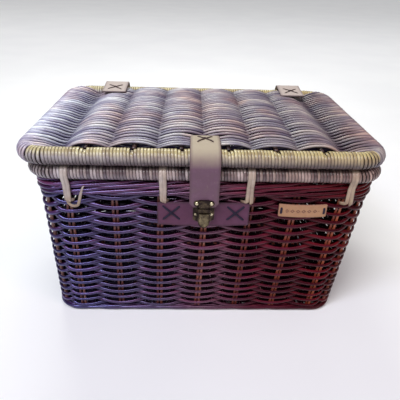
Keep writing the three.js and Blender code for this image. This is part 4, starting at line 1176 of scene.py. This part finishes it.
def hinge_line(x, hang_y, wall_y, low_z):
    """Middle line (y, z) of a hinge leather: over the lid, round the hoop, past the rim, down the wall."""
    line = [(y, tab_height(x, LID_MID_Y + y)) for y in np.linspace(tab_end, tab_end + HINGE_LIES, 8)]
    for a in np.radians(np.linspace(100, 0, 14)):
        reach = HINGE_BEND - 1.5 * MM * ease(1 - a / 1.4)
        rise = HINGE_BEND * math.sin(a) * (1 + 0.30 * math.sin(a))
        line.append((HOOP_LINE[1] + reach * math.cos(a), HOOP_Z + rise))
    line += [(hang_y, HOOP_Z - 10 * MM), (hang_y - 0.5 * MM, 237 * MM), (wall_y + 5 * MM, 227 * MM)]
    line += [(wall_y + 0.4 * MM, 216 * MM), (wall_y, 205 * MM), (wall_y, low_z)]
    return rounded(resample(line, 1.8 * MM), 5)


def hinge_pivot():
    joints = {joint["name"]: joint for joint in frame["record"]["behaviour"]["joints"]}
    return joints["lid_hinge"]["pos_m"]


def build_hinges():
    _, pivot_y, pivot_z = hinge_pivot()
    for name in ("left", "right"):
        upper, lower = f"hinge_leather_upper_{name}", f"hinge_leather_lower_{name}"
        x, half = middle(upper)[0], half_size(upper)[0]
        hang_y = corners(upper)[1][1] - LID_MID_Y - LEATHER_HALF
        wall_y = corners(lower)[0][1] - LID_MID_Y + LEATHER_HALF
        path, normal = strip_frames(hinge_line(x, hang_y, wall_y, corners(lower)[0][2]), 1, x)
        bundle = Bundle()
        bundle.strip(path, RIGHT, normal, half, LEATHER)
        joined = ("basket", "lid", (x, pivot_y, pivot_z - BLEND_HALF), (x, pivot_y, pivot_z + BLEND_HALF))
        nodes = [upper, lower]
        bundle.build(f"hinge_strap_{name}", HINGE_LEATHER, nodes, slot="strap_leather", joined=joined)
        node = f"hinge_stitch_upper_{name}"
        at = middle(node)[:2]
        centre = np.array([*at, tab_height(*at) + 1.4 * MM])
        threads = f"hinge_threads_upper_{name}"
        cross_stitch(threads, centre, tab_slope(x, at[1]), 25 * MM, 23 * MM, node, "lid")
        node = f"hinge_stitch_lower_{name}"
        at = middle(node)
        centre = np.array([at[0], LID_MID_Y + wall_y + LEATHER_HALF, at[2]])
        threads = f"hinge_threads_lower_{name}"
        cross_stitch(threads, centre, UP, 22 * MM, 16 * MM, node, "basket", across=-RIGHT)


def build_patch():
    """The patch behind the clasp, sewn down at its ends and a little bowed between them."""
    low, high = corners("front_patch")
    x = np.linspace(low[0], high[0], 80)
    t = np.linspace(-1, 1, 80)
    mid = middle("front_patch")
    y = mid[1] - 0.35 * MM * np.cos(math.pi * 4 * t) * (1 - t**2)
    z = mid[2] - 0.5 * MM * np.cos(math.pi * t / 2)
    half = (high[2] - low[2]) / 2 - 1.4 * MM * t**2
    half = np.where(1 - np.abs(t) < 0.015, half - 0.9 * MM, half)
    bundle = Bundle()
    bundle.strip(np.column_stack([x, y, z]), UP, -BACK, half, PATCH_THICK)
    bundle.build("closing_patch", PATCH_LEATHER, ["front_patch"], slot="patch_leather")
    for side in ("left", "right"):
        node = f"patch_stitch_{side}"
        at = middle(node)
        centre = np.array([at[0], low[1], at[2]])
        threads = f"patch_threads_{side}"
        cross_stitch(threads, centre, UP, 23 * MM, 21 * MM, node, "basket", RIGHT, PATCH_THREAD, NAVY_THREAD)


def build_label():
    """The name tag hangs between its two end stitches, and carries no lettering."""
    low, high = corners("label")
    x = np.linspace(low[0], high[0], 60)
    t = np.linspace(-1, 1, 60)
    mid = middle("label")
    z = mid[2] + LABEL_SAG / 2 + LABEL_SAG * (t**2 - 1)
    half = (high[2] - low[2] - LABEL_SAG) / 2 - np.where(1 - np.abs(t) < 0.02, 0.7 * MM, 0)
    bundle = Bundle()
    bundle.strip(np.column_stack([x, np.full(60, mid[1] - 0.3 * MM), z]), UP, -BACK, half, LABEL_THICK)
    bundle.build("name_tag", label_leather((high[0] - low[0]) / 2), ["label"], slot="label_leather")
    for side in ("left", "right"):
        node = f"label_stitch_{side}"
        at, size = middle(node), half_size(node)
        t = np.linspace(-1, 1, 13)
        y = low[1] - 0.3 * MM - 0.55 * MM * (1 - np.abs(t) ** 6) + 1.0 * MM * np.abs(t) ** 8
        thread = Bundle()
        points = np.column_stack([np.full(13, at[0]), y, at[2] + t * size[2]])
        thread.sweep(points, -BACK, LABEL_THREAD, thin=0.6, tone=0.5)
        thread.build(f"tag_thread_{side}", NAVY_THREAD, [node], slot="thread")


# ---- brass clasp and hoops, on the CAD solids themselves

CAD_FINISH = {
    "clasp_case": (DARK_BRASS, 0.45 * MM),
    "striker": (DARK_BRASS, 0.25 * MM),
    "clasp_button": (BUTTON_BRASS, 0.4 * MM),
    "clasp_rivet_left": (BRIGHT_BRASS, 0),
    "clasp_rivet_right": (BRIGHT_BRASS, 0),
    "striker_rivet_left": (BRIGHT_BRASS, 0),
    "striker_rivet_right": (BRIGHT_BRASS, 0),
    "rim_core": (CORE_WILLOW, 0),
    "lid_frame": (CORE_WILLOW, 0),
}


def finish_cad():
    """Gives each CAD piece that stays its material and, where it shows, soft edges."""
    for node, (material, bevel) in CAD_FINISH.items():
        obj = frame["nodes"][node]
        for entry in obj.material_slots:
            entry.material = material
        if bevel:
            soften = obj.modifiers.new("soft_edges", "BEVEL")
            soften.width = bevel
            soften.segments = 3
            soften.limit_method = "ANGLE"
            soften.angle_limit = math.radians(35)
            soften.harden_normals = False


build_side_weave()
build_stakes()
build_band()
build_foot()
build_base()
build_rim()
build_ties()
build_lid_weave()
build_lid_windings()
build_strap()
build_hinges()
build_patch()
build_label()
finish_cad()

# ---- floor, light and camera

FLOOR_REACH = 30.0
AREA_LIGHTS = (  # name, place, what it faces, size, power, colour
    ("back_top", (-0.25, 0.95, 1.35), (0, 0, 0.25), (0.9, 0.3), 11, (0.97, 1.0, 0.92)),
    ("left_cool", (-0.70, -0.70, 1.5), (-0.1, -0.1, 0.1), (0.45, 0.10), 5, (0.62, 0.68, 1.0)),
    ("front_top", (-0.1, -0.75, 1.45), (0, -0.1, 0.15), (1.5, 0.45), 5.5, (0.97, 0.98, 1.0)),
    ("far_floor", (0, 1.5, 2.2), (0, 4.5, 0.4), (6.0, 1.5), 45, (1.0, 1.0, 1.0)),
    ("right_warm", (0.90, -0.75, 1.3), (0.1, -0.1, 0.1), (0.35, 0.18), 3, (1.0, 0.66, 0.70)),
)
CAMERA_PLACE = (-0.0227, -0.6295, 0.4595)
CAMERA_TURN = (2.55, 28.65, 2.0)  # degrees to the right, down, and rolled with its right side up


def add_object(name, data):
    obj = bpy.data.objects.new(name, data)
    bpy.context.collection.objects.link(obj)
    return obj


def pose_matrix(x_axis, y_axis, z_axis, origin):
    rows = np.column_stack([x_axis, y_axis, z_axis, origin])
    return Matrix([*rows.tolist(), [0, 0, 0, 1]])


def build_floor():
    r = FLOOR_REACH
    mesh = bpy.data.meshes.new("floor")
    mesh.from_pydata([(-r, -r, 0), (r, -r, 0), (r, r, 0), (-r, r, 0)], [], [(0, 1, 2, 3)])
    mesh.materials.append(floor_paint())
    add_object("floor", mesh)


def build_lights():
    world = bpy.data.worlds.new("studio")
    world.use_nodes = True
    background = world.node_tree.nodes["Background"]
    background.inputs["Color"].default_value = (0.97, 0.98, 1.0, 1)
    background.inputs["Strength"].default_value = 0.22
    bpy.context.scene.world = world
    sun = bpy.data.lights.new("broad_top", "SUN")
    sun.energy = 1.5
    sun.angle = math.radians(35)
    add_object("broad_top", sun).rotation_euler = (math.radians(30), math.radians(-26), 0)
    for name, place, target, size, power, colour in AREA_LIGHTS:
        light = bpy.data.lights.new(name, "AREA")
        light.shape = "RECTANGLE"
        light.size, light.size_y = size
        light.energy = power
        light.color = colour
        back = unit(np.subtract(place, target))
        side = unit(np.cross(UP, back))
        add_object(name, light).matrix_world = pose_matrix(side, np.cross(back, side), back, place)


def build_camera():
    lens = bpy.data.cameras.new("camera")
    lens.sensor_width = 36
    lens.lens = 38.2
    lens.shift_x = -0.009
    lens.clip_start, lens.clip_end = 0.01, 60
    yaw, pitch, roll = np.radians(CAMERA_TURN)
    forward = np.array([math.sin(yaw) * math.cos(pitch), math.cos(yaw) * math.cos(pitch), -math.sin(pitch)])
    level = np.array([math.cos(yaw), -math.sin(yaw), 0])
    upward = np.cross(level, forward)
    right = math.cos(roll) * level + math.sin(roll) * upward
    over = math.cos(roll) * upward - math.sin(roll) * level
    camera = add_object("camera", lens)
    camera.matrix_world = pose_matrix(right, over, -forward, CAMERA_PLACE)
    bpy.context.scene.camera = camera


build_floor()
build_lights()
build_camera()
bpy.context.scene.view_settings.view_transform = "Standard"
